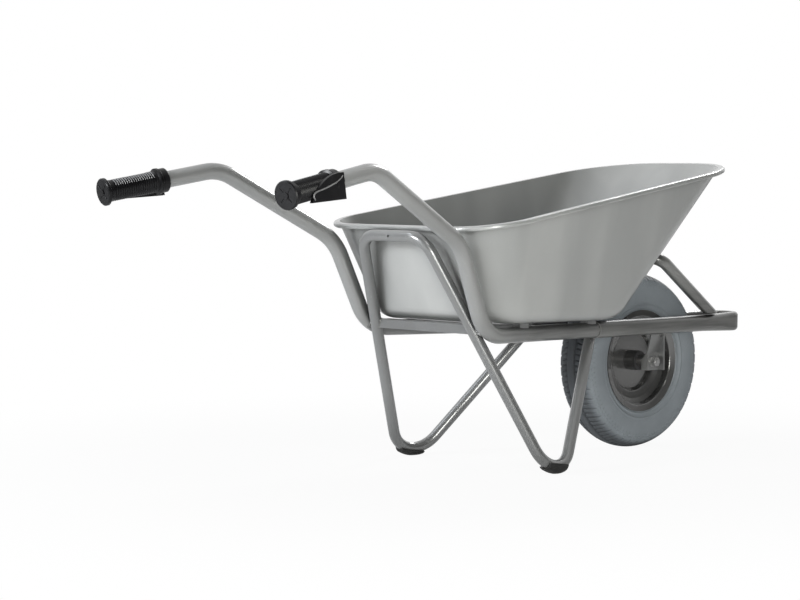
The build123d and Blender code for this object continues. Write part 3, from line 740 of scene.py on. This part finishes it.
def end_growth(shape: Term, material: bpy.types.Material, merge: float = 0.0) -> None:
    """Finish a Geometry Nodes tree with a plain smooth mesh in one finish.

    Args:
        shape: geometry to keep.
        material: its finish.
        merge: distance within which points become one, 0 for none.
    """
    graph = shape.graph
    solid = graph.add("GeometryNodeRealizeInstances", inputs={0: shape})
    if merge:
        solid = graph.add("GeometryNodeMergeByDistance", inputs={"Geometry": solid, "Distance": merge})
    smooth = graph.add("GeometryNodeSetShadeSmooth", inputs={0: solid})
    dressed = graph.add("GeometryNodeSetMaterial", inputs={"Geometry": smooth, "Material": material})
    sink = graph.tree.nodes.new("NodeGroupOutput")
    graph.tree.links.new(dressed.socket, sink.inputs[0])


def path_mesh(name: str, paths: list[list[Vector]]) -> bpy.types.Mesh:
    """Mesh of edges along paths, joined where their points meet.

    Args:
        name: the mesh's name.
        paths: points of each path.

    Returns:
        The mesh, without faces.
    """
    places: dict[tuple[float, ...], int] = {}
    edges: list[tuple[int, int]] = []
    for path in paths:
        keys = [tuple(round(part, 6) for part in point) for point in path]
        row = [places.setdefault(key, len(places)) for key in keys]
        edges += zip(row, row[1:])
    mesh = bpy.data.meshes.new(name)
    mesh.from_pydata(list(places), edges, [])
    return mesh


def linked(name: str, mesh: bpy.types.Mesh) -> bpy.types.Object:
    """Object at the origin that shows a mesh."""
    piece = bpy.data.objects.new(name, mesh)
    bpy.context.scene.collection.objects.link(piece)
    return piece


def grown(
    name: str, mesh: bpy.types.Mesh, tree: bpy.types.NodeTree, sizes: dict[str, float]
) -> bpy.types.Object:
    """Run Geometry Nodes on a mesh and keep the result as a plain mesh.

    Args:
        name: the piece's name.
        mesh: what the tree starts from.
        tree: the node tree.
        sizes: values for the tree's named inputs.

    Returns:
        The piece, with no modifier left on it.
    """
    piece = linked(name, mesh)
    modifier = piece.modifiers.new(name, "NODES")
    modifier.node_group = tree
    for socket in tree.interface.items_tree:
        if socket.name in sizes:
            modifier[socket.identifier] = sizes[socket.name]
    depsgraph = bpy.context.evaluated_depsgraph_get()
    result = bpy.data.meshes.new_from_object(piece.evaluated_get(depsgraph))
    piece.modifiers.remove(modifier)
    piece.data = result
    LOG.info("%s: %d faces", name, len(result.polygons))
    return piece


def cut_back(work: bmesh.types.BMesh, place: Vector, way: Vector) -> list[bmesh.types.BMEdge]:
    """Take away what lies beyond a plane.

    Args:
        work: the mesh.
        place: point on the plane.
        way: direction of what goes.

    Returns:
        Edges of the open cut.
    """
    parts = [*work.verts, *work.edges, *work.faces]
    cut = bmesh.ops.bisect_plane(work, geom=parts, plane_co=place, plane_no=way, clear_outer=True)
    return [part for part in cut["geom_cut"] if isinstance(part, bmesh.types.BMEdge)]


def settled(work: bmesh.types.BMesh, name: str, material: bpy.types.Material) -> bpy.types.Object:
    """Finish a worked mesh as a piece that rides on the frame.

    Args:
        work: the mesh, which is freed.
        name: the piece's name.
        material: its finish.

    Returns:
        The piece.
    """
    mesh = bpy.data.meshes.new(name)
    work.to_mesh(mesh)
    work.free()
    mesh.materials.clear()
    mesh.materials.append(material)
    piece = linked(name, mesh)
    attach(piece, Body.FRAME.value)
    LOG.info("%s: %d faces", name, len(mesh.polygons))
    return piece


@dataclass
class FootShoes:
    """Wear shoes cut down to the short pad under each foot bend."""

    nodes: dict[str, bpy.types.Object]
    share: float = 0.60
    rounds: int = 40

    def long_axis(self, points: list[Vector]) -> Vector:
        """Direction in which points spread most.

        Args:
            points: the points.

        Returns:
            Unit vector along their length.
        """
        middle = sum(points, Vector()) / len(points)
        spread = Matrix.Diagonal((0.0, 0.0, 0.0))
        for gap in (point - middle for point in points):
            spread += Matrix([[gap[i] * gap[j] for j in range(3)] for i in range(3)])
        way = Vector((1.0, 1.0, 1.0))
        for _ in range(self.rounds):
            way = (spread @ way).normalized()
        return way

    def build(self) -> None:
        """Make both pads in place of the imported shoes."""
        material = SHOE_RUBBER.material()
        for side in Side:
            node = side.node("foot_shoe")
            work = merged(self.nodes[node])
            way = self.long_axis([vert.co.copy() for vert in work.verts])
            reach = [vert.co.dot(way) for vert in work.verts]
            middle, half = (max(reach) + min(reach)) / 2, (max(reach) - min(reach)) / 2 * self.share
            for end in (1.0, -1.0):
                rim = cut_back(work, way * (middle + end * half), way * end)
                bmesh.ops.holes_fill(work, edges=rim)
            pad = settled(work, side.node("foot_pad"), material)
            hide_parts(node)


@dataclass
class StaySeat:
    """Front stay whose ends stop on top of the hoop."""

    nodes: dict[str, bpy.types.Object]
    depth: float = 0.0040

    @property
    def height(self) -> float:
        """Level at which the stay ends."""
        return max(vert.co.z for vert in self.nodes["front_hoop"].data.vertices) - self.depth

    def build(self) -> None:
        """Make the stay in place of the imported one."""
        work = merged(self.nodes["front_stay"])
        rim = cut_back(work, Vector((0.0, 0.0, self.height)), Vector((0.0, 0.0, -1.0)))
        bmesh.ops.triangle_fill(work, edges=rim, use_beauty=True)
        bmesh.ops.recalc_face_normals(work, faces=work.faces)
        stay = settled(work, "seated_stay", HOOP_ENAMEL.material())
        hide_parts("front_stay")


@dataclass
class GripGuards:
    """Guard plate beside each grip, its moulded edge, the finger ribs and the cross on the grip's end."""

    finder: SeamFinder
    end_wall: float = 0.0091
    inner: float = 0.0080
    outer: float = 0.0245
    bead: float = 0.0018
    rib_bead: float = 0.0010
    cross_bead: float = 0.0012
    step: float = 0.0020
    cross_start: float = 0.0070
    cross_end: float = 0.0180
    cross_turn: float = 45.0
    cross_arms: int = 4
    rib_radius: float = 0.0212
    rib_first: float = 0.0240
    rib_pitch: float = 0.0050
    ribs: int = 18
    rib_arc: Point = (5.0, 62.0)
    rib_steps: int = 8
    edge: tuple[Point, ...] = (
        (0.0130, 0.1380), (0.0093, 0.1335), (0.0041, 0.1195), (0.0012, 0.1042), (-0.0011, 0.0891),
        (-0.0024, 0.0732), (-0.0038, 0.0590), (-0.0070, 0.0515), (-0.0123, 0.0495), (-0.0177, 0.0526),
    )
    underside: tuple[Point, ...] = (
        (-0.0222, 0.0640), (-0.0240, 0.0880), (-0.0265, 0.1180), (-0.0310, 0.1400),
    )

    def axes(self, side: Side) -> Matrix:
        """Frame of a grip: outwards, upwards, along the handle, and its end.

        Args:
            side: which grip.

        Returns:
            Matrix from the grip's own coordinates.
        """
        rings = self.finder.outermost(self.finder.loops(side.node("side_tube")))
        ring = min(rings, key=lambda loop: min(p.x for p in loop))
        middle = sum(ring, Vector()) / len(ring)
        turn = sum(((a - middle).cross(b - middle) for a, b in zip(ring, ring[1:] + ring[:1])), Vector())
        along = turn.normalized() if turn.x > 0.0 else -turn.normalized()
        up = (Vector((0.0, 0.0, 1.0)) - along * along.z).normalized()
        out = up.cross(along) if side is Side.LEFT else along.cross(up)
        frame = Matrix((out, up, along)).transposed().to_4x4()
        frame.translation = middle - along * self.end_wall
        return frame

    def plate(self, side: Side, frame: Matrix, material: bpy.types.Material) -> None:
        """Make one guard plate.

        Args:
            side: which grip.
            frame: the grip's frame.
            material: finish of the plate.
        """
        work = bmesh.new()
        corners = (*self.edge, *self.underside)
        outline = [work.verts.new(frame @ Vector((self.inner, *corner))) for corner in corners]
        face = work.faces.new(outline)
        body = bmesh.ops.extrude_face_region(work, geom=[face])
        moved = [part for part in body["geom"] if isinstance(part, bmesh.types.BMVert)]
        out = frame.to_3x3() @ Vector((self.outer - self.inner, 0.0, 0.0))
        bmesh.ops.translate(work, verts=moved, vec=out)
        bmesh.ops.recalc_face_normals(work, faces=work.faces)
        plate = settled(work, side.node("guard_plate"), material)

    def rib(self, frame: Matrix, along: float) -> list[Vector]:
        """Path of one finger rib over the grip's inner shoulder.

        Args:
            frame: the grip's frame.
            along: distance from the grip's end.

        Returns:
            Points of the path.
        """
        low, high = self.rib_arc
        steps = self.rib_steps
        turns = [math.radians(low + (high - low) * i / steps) for i in range(steps + 1)]
        ring = [Vector((-math.sin(t), math.cos(t), 0.0)) * self.rib_radius for t in turns]
        return [frame @ (point + Vector((0.0, 0.0, along))) for point in ring]

    def tree(self, material: bpy.types.Material) -> bpy.types.NodeTree:
        """Geometry Nodes that run a round bead along smooth paths.

        Args:
            material: finish of the bead.

        Returns:
            The node tree.
        """
        tree, (paths, radius, step) = growth_tree("moulded_bead", "Radius", "Step")
        graph = paths.graph
        line = graph.add("GeometryNodeMeshToCurve", inputs={"Mesh": paths})
        curve = graph.add("GeometryNodeCurveSplineType", {"spline_type": "CATMULL_ROM"}, {"Curve": line})
        even = graph.add("GeometryNodeResampleCurve", {"mode": "LENGTH"}, {"Curve": curve, "Length": step})
        ring = graph.add("GeometryNodeCurvePrimitiveCircle", inputs={"Resolution": 12, "Radius": radius})
        inputs = {"Curve": even, "Profile Curve": ring, "Fill Caps": True}
        end_growth(graph.add("GeometryNodeCurveToMesh", inputs=inputs), material)
        return tree

    def build(self) -> None:
        """Make the plates, and each kind of bead as one plain mesh."""
        # The pale finish paints the highlights on the guard edges and finger ribs.
        plain, bright = GRIP_RUBBER.material(), HIGHLIGHT_RUBBER.material()
        edges: list[list[Vector]] = []
        ribs: list[list[Vector]] = []
        crosses: list[list[Vector]] = []
        for side in Side:
            frame = self.axes(side)
            self.plate(side, frame, plain)
            edges.append([frame @ Vector((self.outer, *p)) for p in self.edge])
            ribs += [self.rib(frame, self.rib_first + self.rib_pitch * i) for i in range(self.ribs)]
            for arm in range(self.cross_arms):
                turn = math.radians(self.cross_turn + 360.0 / self.cross_arms * arm)
                way = Vector((math.cos(turn), math.sin(turn), 0.0))
                crosses.append([frame @ (way * reach) for reach in (self.cross_start, self.cross_end)])
        for name, paths, radius, finish in (
            ("guard_edges", edges, self.bead, bright),
            ("grip_ribs", ribs, self.rib_bead, bright),
            ("grip_crosses", crosses, self.cross_bead, plain),
        ):
            sizes = {"Radius": radius, "Step": self.step}
            beads = grown(name, path_mesh(name, paths), self.tree(finish), sizes)
            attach(beads, Body.FRAME.value)


@dataclass(frozen=True)
class Arc:
    """Circle in the tyre's section, whose points are a place across and a radius."""

    centre: Point
    size: float

    @classmethod
    def through(cls, a: Point, b: Point, c: Point) -> Arc:
        """Circle through three points."""
        squares = [x * x + y * y for x, y in (a, b, c)]
        twice = 2.0 * (a[0] * (b[1] - c[1]) + b[0] * (c[1] - a[1]) + c[0] * (a[1] - b[1]))
        x = (squares[0] * (b[1] - c[1]) + squares[1] * (c[1] - a[1]) + squares[2] * (a[1] - b[1])) / twice
        y = (squares[0] * (c[0] - b[0]) + squares[1] * (a[0] - c[0]) + squares[2] * (b[0] - a[0])) / twice
        return cls((x, y), math.hypot(a[0] - x, a[1] - y))

    def at_across(self, across: float) -> Point:
        """Outer point at a place across."""
        return across, self.centre[1] + math.sqrt(self.size**2 - (across - self.centre[0]) ** 2)

    def at_radius(self, radius: float) -> Point:
        """Outer point at a radius."""
        return self.centre[0] + math.sqrt(self.size**2 - (radius - self.centre[1]) ** 2), radius

    def normal(self, point: Point) -> Point:
        """Direction away from the circle's middle."""
        return (point[0] - self.centre[0]) / self.size, (point[1] - self.centre[1]) / self.size


class Dash(Enum):
    """Which of the staggered rows of raised marks crosses a ring."""

    NONE = ()
    FIRST = (3, 4)
    SECOND = (0, 1)


@dataclass(frozen=True)
class Ring:
    """Ring of the tyre's outside: its place, its level, the depth of two notches in turn and its marks."""

    place: float
    level: float = 0.0
    notches: Point = (0.0, 0.0)
    dash: Dash = Dash.NONE


@dataclass
class TyreTread:
    """Tyre with a smooth middle rib, notched shoulders and rows of raised marks."""

    centre: Vector
    pitches: int = 96
    columns: tuple[float, ...] = (0.0, 0.20, 0.28, 0.36, 0.70, 0.78, 0.92)
    notch_columns: tuple[int, ...] = (0, 1)
    lean: float = 0.5
    lean_start: float = 0.0134
    lean_run: float = 0.0276
    dash_height: float = 0.0010
    crown: Arc = Arc.through((-0.041, 0.180), (0.0, 0.195), (0.041, 0.180))
    side: Arc = Arc.through((0.0368, 0.1141), (0.046, 0.14705), (0.041, 0.180))
    lining: Arc = Arc.through((0.022, 0.1087), (0.040, 0.14705), (0.035, 0.177))
    belt: Arc = Arc.through((-0.035, 0.177), (0.0, 0.187), (0.035, 0.177))
    crown_rings: tuple[Ring, ...] = (
        Ring(0.0), Ring(0.0050), Ring(0.0084), Ring(0.0092, -0.0034), Ring(0.0126, -0.0034),
        Ring(0.0134, 0.0, (0.0028, 0.0028)), Ring(0.0200, 0.0, (0.0028, 0.0028)),
        Ring(0.0270, 0.0, (0.0028, 0.0026)), Ring(0.0330, 0.0, (0.0026, 0.0018)),
        Ring(0.0370, 0.0, (0.0022, 0.0)), Ring(0.0410, 0.0, (0.0016, 0.0)),
    )
    side_rings: tuple[Ring, ...] = (
        Ring(0.1780, 0.0, (0.0010, 0.0)), Ring(0.1766), Ring(0.1758),
        Ring(0.1750, dash=Dash.FIRST), Ring(0.1718, dash=Dash.FIRST), Ring(0.1710), Ring(0.1704),
        Ring(0.1696, dash=Dash.SECOND), Ring(0.1668, dash=Dash.SECOND), Ring(0.1660),
        Ring(0.1600), Ring(0.1535), Ring(0.1470), Ring(0.1400), Ring(0.1330),
        Ring(0.1295), Ring(0.1290, 0.0007), Ring(0.1278, 0.0007), Ring(0.1273), Ring(0.1230),
        Ring(0.1190), Ring(0.1185, 0.0009), Ring(0.1168, 0.0009), Ring(0.1163), Ring(0.1141),
    )
    bead_line: tuple[Point, ...] = ((0.0341, 0.1037), (0.0303, 0.1007), (0.0200, 0.1007), (0.0220, 0.1087))
    lining_radii: tuple[float, ...] = (0.116, 0.124, 0.133, 0.147, 0.160, 0.170, 0.177)
    belt_places: tuple[float, ...] = (0.024, 0.012)

    def half_section(self) -> list[tuple[Point, Point, Ring]]:
        """Points of the right half's outside with their normals, from the middle to the rim."""
        found = []
        for arc, rings, at in (
            (self.crown, self.crown_rings, self.crown.at_across),
            (self.side, self.side_rings, self.side.at_radius),
        ):
            for ring in rings:
                point = at(ring.place)
                found.append((point, arc.normal(point), ring))
        return found

    @staticmethod
    def mirrored(rows: list[tuple[Point, Point, Ring]]) -> list[tuple[Point, Point, Ring]]:
        """Rows of the other half, in the opposite order."""
        return [((-p[0], p[1]), (-n[0], n[1]), ring) for p, n, ring in reversed(rows)]

    def section(self) -> list[tuple[Point, Point, Ring]]:
        """Closed section: the outside from left to right, then the inside back."""
        plain = Ring(0.0)
        outside = self.half_section()
        inside = [*self.bead_line, *map(self.lining.at_radius, self.lining_radii)]
        inside += map(self.belt.at_across, self.belt_places)
        inner = [(point, (0.0, 0.0), plain) for point in inside]
        middle = [(self.belt.at_across(0.0), (0.0, 0.0), plain)]
        return [*self.mirrored(outside[1:]), *outside, *inner, *middle, *self.mirrored(inner)]

    def relief(self, ring: Ring, pitch: int, column: int) -> float:
        """Height of the outside above its plain section."""
        height = ring.level
        if column in self.notch_columns:
            height -= ring.notches[pitch % 2]
        return height + (self.dash_height if column in ring.dash.value else 0.0)

    def sector(self) -> bpy.types.Mesh:
        """Two pitches of the tyre about the origin.

        Returns:
            The open mesh that repeats about the axle.
        """
        step = 2.0 * math.pi / self.pitches
        section = self.section()
        stops = [(pitch, column) for pitch in (0, 1) for column in range(len(self.columns))] + [(2, 0)]
        points = []
        for pitch, column in stops:
            for (across, radius), normal, ring in section:
                height = self.relief(ring, pitch, column)
                run = min(max((abs(across) - self.lean_start) / self.lean_run, 0.0), 1.0) * self.lean
                turn = step * (pitch + self.columns[column] + run)
                reach = radius + normal[1] * height
                points.append((reach * math.cos(turn), across + normal[0] * height, reach * math.sin(turn)))
        count = len(section)
        faces = []
        for stop in range(len(stops) - 1):
            for row in range(count):
                here, after = stop * count + row, stop * count + (row + 1) % count
                faces.append((here, after, after + count, here + count))
        mesh = bpy.data.meshes.new("tyre_sector")
        mesh.from_pydata(points, [], faces)
        return mesh

    def tree(self, material: bpy.types.Material) -> bpy.types.NodeTree:
        """Geometry Nodes that repeat a sector about the axle.

        Args:
            material: finish of the tyre.

        Returns:
            The node tree.
        """
        tree, (sector, count, turn) = growth_tree("tyre_round", "Count", "Turn")
        graph = sector.graph
        points = graph.add("GeometryNodePoints", inputs={"Count": count, "Position": self.centre})
        angle = graph.add("GeometryNodeInputIndex") * turn
        euler = graph.add("ShaderNodeCombineXYZ", inputs={1: angle})
        rotation = graph.add("FunctionNodeEulerToRotation", inputs={0: euler})
        copies = graph.add(
            "GeometryNodeInstanceOnPoints",
            inputs={"Points": points, "Instance": sector, "Rotation": rotation},
        )
        end_growth(copies, material, MERGE)
        return tree

    def build(self) -> None:
        """Make the tyre one plain mesh that turns with the wheel."""
        tree = self.tree(TYRE_RUBBER.material(self.centre))
        count = self.pitches // 2
        sizes = {"Count": float(count), "Turn": 2.0 * math.pi / count}
        tyre = grown("tyre_body", self.sector(), tree, sizes)
        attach(tyre, Body.WHEEL.value)
        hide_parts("tyre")


@dataclass
class Barrow:
    """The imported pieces, sorted by their finish."""

    frame: dict[str, Any]
    tubes: tuple[str, ...] = ("leg_frame", "rear_cross_bar", "tray_blocks")
    front: tuple[str, ...] = ("front_hoop", "front_stay")
    zinc: tuple[str, ...] = (
        "tray_bolts", "tray_washers", "tray_nuts", "axle_washers", "axle_bolt", "axle_nut"
    )
    turned: tuple[str, ...] = ("axle_sleeve", "axle_spacers")

    @property
    def nodes(self) -> dict[str, bpy.types.Object]:
        """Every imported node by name."""
        return self.frame["nodes"]

    @property
    def wheel_centre(self) -> Vector:
        """Middle of the wheel, on its joint."""
        return Vector(self.frame["joints"][0]["pos_m"])

    def dress_all(self, names: list[str], material: bpy.types.Material) -> None:
        """Give several nodes one finish.

        Args:
            names: the nodes.
            material: their finish.
        """
        for name in names:
            dress(self.nodes[name], material)
            LOG.info("%s: %s", name, material.name)

    def pairs(self, *pieces: str) -> list[str]:
        """Left and right nodes of paired pieces."""
        return [side.node(piece) for piece in pieces for side in Side]

    def dress_frame(self) -> None:
        """Finish the tray, the tubes, the grips and the fixings."""
        self.dress_all(["tray"], GREY_ENAMEL.material())
        self.dress_all([*self.tubes, *self.pairs("axle_bracket")], TUBE_ENAMEL.material())
        self.dress_all(self.pairs("side_tube"), RAIL_ENAMEL.material())
        self.dress_all([*self.front], HOOP_ENAMEL.material())
        self.dress_all(self.pairs("grip"), GRIP_RUBBER.material())
        self.dress_all(self.pairs("foot_shoe"), SHOE_RUBBER.material())
        self.dress_all([*self.zinc], BRIGHT_ZINC.material())
        self.dress_all([*self.turned], TURNED_STEEL.material())

    def dress_wheel(self) -> None:
        """Finish the tyre, the rim and the hub."""
        self.dress_all(["tyre"], TYRE_RUBBER.material(self.wheel_centre))
        self.dress_all(["inner_tube", "valve_stem"], TUBE_RUBBER.material())
        self.dress_all(self.pairs("rim_half"), RIM_ENAMEL.material())
        self.dress_all(["hub_tube"], HUB_ENAMEL.material())
        self.dress_all(["valve_cap", *self.pairs("hub_bush")], DARK_NYLON.material())


@dataclass(frozen=True)
class Lamp:
    """A square soft lamp that points at the barrow."""

    name: str
    place: Place
    size: float
    watts: float
    colour: Colour = (1.0, 1.0, 1.0)

    def build(self, target: Vector) -> None:
        """Hang the lamp.

        Args:
            target: point that it faces.
        """
        data = bpy.data.lights.new(self.name, "AREA")
        data.shape = "SQUARE"
        data.size = self.size
        data.energy = self.watts
        data.color = self.colour
        lamp = bpy.data.objects.new(self.name, data)
        lamp.location = self.place
        lamp.rotation_mode = "QUATERNION"
        lamp.rotation_quaternion = (target - Vector(self.place)).to_track_quat("-Z", "Y")
        bpy.context.scene.collection.objects.link(lamp)


@dataclass
class Studio:
    """Camera, lamps, floor and surround."""

    wheel_centre: Vector
    image_width: float = 800.0
    focal_pixels: float = 2447.5
    sensor: float = 36.0
    camera_offset: Place = (-4.1204, -3.6400, 0.4562)
    yaw: float = 0.75367
    pitch: float = 0.058809
    floor_half: float = 30.0
    floor_colour: Colour = (0.86, 0.86, 0.86)
    white: Colour = (1.0, 1.0, 1.0)
    near_glow: float = 0.94
    fade_start: float = 0.5
    fade_end: float = 1.7
    floor_mirror: float = 0.2
    surround: float = 0.02
    bright_side: Place = (0.49, 0.59, 0.64)
    bright_span: Point = (-0.1, 0.9)
    dim: float = 0.03
    mirror: float = 0.8
    clip_end: float = 200.0
    lamp_target: Place = (0.0, 0.0, 0.35)
    lamps: tuple[Lamp, ...] = (
        Lamp("rear_softbox", (-3.675, 0.985, 1.586), 1.0, 100.0, (0.96, 0.98, 1.0)),
        Lamp("left_softbox", (-2.000, 2.000, 3.178), 1.0, 10.0, (0.86, 0.93, 1.0)),
        Lamp("right_softbox", (-1.414, -2.449, 3.178), 1.0, 13.0, (1.0, 1.0, 0.97)),
        Lamp("low_softbox", (-1.500, -2.400, 0.500), 0.8, 29.0, (1.0, 1.0, 0.95)),
        Lamp("front_softbox", (3.000, 1.200, 2.600), 0.8, 45.0),
    )

    def build(self) -> None:
        """Set the whole studio up."""
        self.build_camera()
        self.build_world()
        self.build_floor()
        for lamp in self.lamps:
            lamp.build(Vector(self.lamp_target))
        bpy.context.scene.view_settings.view_transform = "Standard"

    def build_camera(self) -> None:
        """Place the camera at the photograph's viewpoint."""
        data = bpy.data.cameras.new("camera")
        data.sensor_fit = "HORIZONTAL"
        data.sensor_width = self.sensor
        data.lens = self.focal_pixels / self.image_width * self.sensor
        data.clip_end = self.clip_end
        camera = bpy.data.objects.new("camera", data)
        level = math.cos(self.pitch)
        ahead = Vector((math.sin(self.yaw) * level, math.cos(self.yaw) * level, -math.sin(self.pitch)))
        camera.location = self.wheel_centre + Vector(self.camera_offset)
        camera.rotation_mode = "QUATERNION"
        camera.rotation_quaternion = ahead.to_track_quat("-Z", "Y")
        bpy.context.scene.collection.objects.link(camera)
        bpy.context.scene.camera = camera

    @staticmethod
    def seen(graph: Graph, mirror: Operand) -> Term:
        """Share of white on rays that show the background.

        Args:
            graph: tree of the floor or the surround.
            mirror: share of it that reflections show.

        Returns:
            1 on rays that see the background straight or through glass.
        """
        node = graph.add("ShaderNodeLightPath", output="Is Camera Ray").socket.node
        camera, glossy, through = [
            Term(graph, node.outputs[name])
            for name in ("Is Camera Ray", "Is Glossy Ray", "Is Transmission Ray")
        ]
        return camera.most(glossy * mirror).most(through)

    def build_world(self) -> None:
        """Surround that looks white, and dims in reflections away from its bright side."""
        world = bpy.data.worlds.new("surround")
        world.use_nodes = True
        graph = Graph(world.node_tree)
        way = graph.add("ShaderNodeTexCoord", output="Generated")
        facing = graph.add(
            "ShaderNodeVectorMath", {"operation": "DOT_PRODUCT"}, {0: way, 1: self.bright_side}, "Value"
        )
        bright = graph.span(facing, *self.bright_span, self.dim, self.mirror)
        light = self.seen(graph, bright) * (1.0 - self.surround) + self.surround
        inputs = {"Color": rgba(self.white), "Strength": light}
        shader = graph.add("ShaderNodeBackground", inputs=inputs)
        graph.add("ShaderNodeOutputWorld", inputs={"Surface": shader})
        bpy.context.scene.world = world

    def build_floor(self) -> None:
        """Pale floor that keeps a soft shadow near the barrow and runs out into white."""
        half = self.floor_half
        corners = [(-half, -half, 0.0), (half, -half, 0.0), (half, half, 0.0), (-half, half, 0.0)]
        mesh = bpy.data.meshes.new("floor")
        mesh.from_pydata(corners, [], [(0, 1, 2, 3)])
        floor = linked("floor", mesh)
        material, graph = new_material("pale_floor")
        x, y, _ = graph.split(graph.place())
        away = (x * x + y * y).root()
        fade = graph.span(away, self.fade_start, self.fade_end, self.near_glow, 1.0)
        matt = graph.add("ShaderNodeBsdfDiffuse", inputs={"Color": rgba(self.floor_colour)})
        glow = graph.add("ShaderNodeEmission", inputs={"Color": rgba(self.white)})
        share = self.seen(graph, self.floor_mirror) * fade
        mixed = graph.add("ShaderNodeMixShader", inputs={0: share, 1: matt, 2: glow})
        graph.add("ShaderNodeOutputMaterial", inputs={"Surface": mixed})
        mesh.materials.append(material)


def main() -> None:
    """Load the frame, dress it, add the pieces made here and set up the studio."""
    logging.basicConfig(level=logging.INFO, format="%(name)s: %(message)s")
    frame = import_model()
    barrow = Barrow(frame)
    barrow.dress_frame()
    barrow.dress_wheel()
    finder = SeamFinder(barrow.nodes)
    seat = StaySeat(barrow.nodes)
    seat.build()
    WeldSeams(finder, seat.height).build()
    FootShoes(barrow.nodes).build()
    GripGuards(finder).build()
    TyreTread(barrow.wheel_centre).build()
    Studio(barrow.wheel_centre).build()


if __name__ == "__main__":
    main()
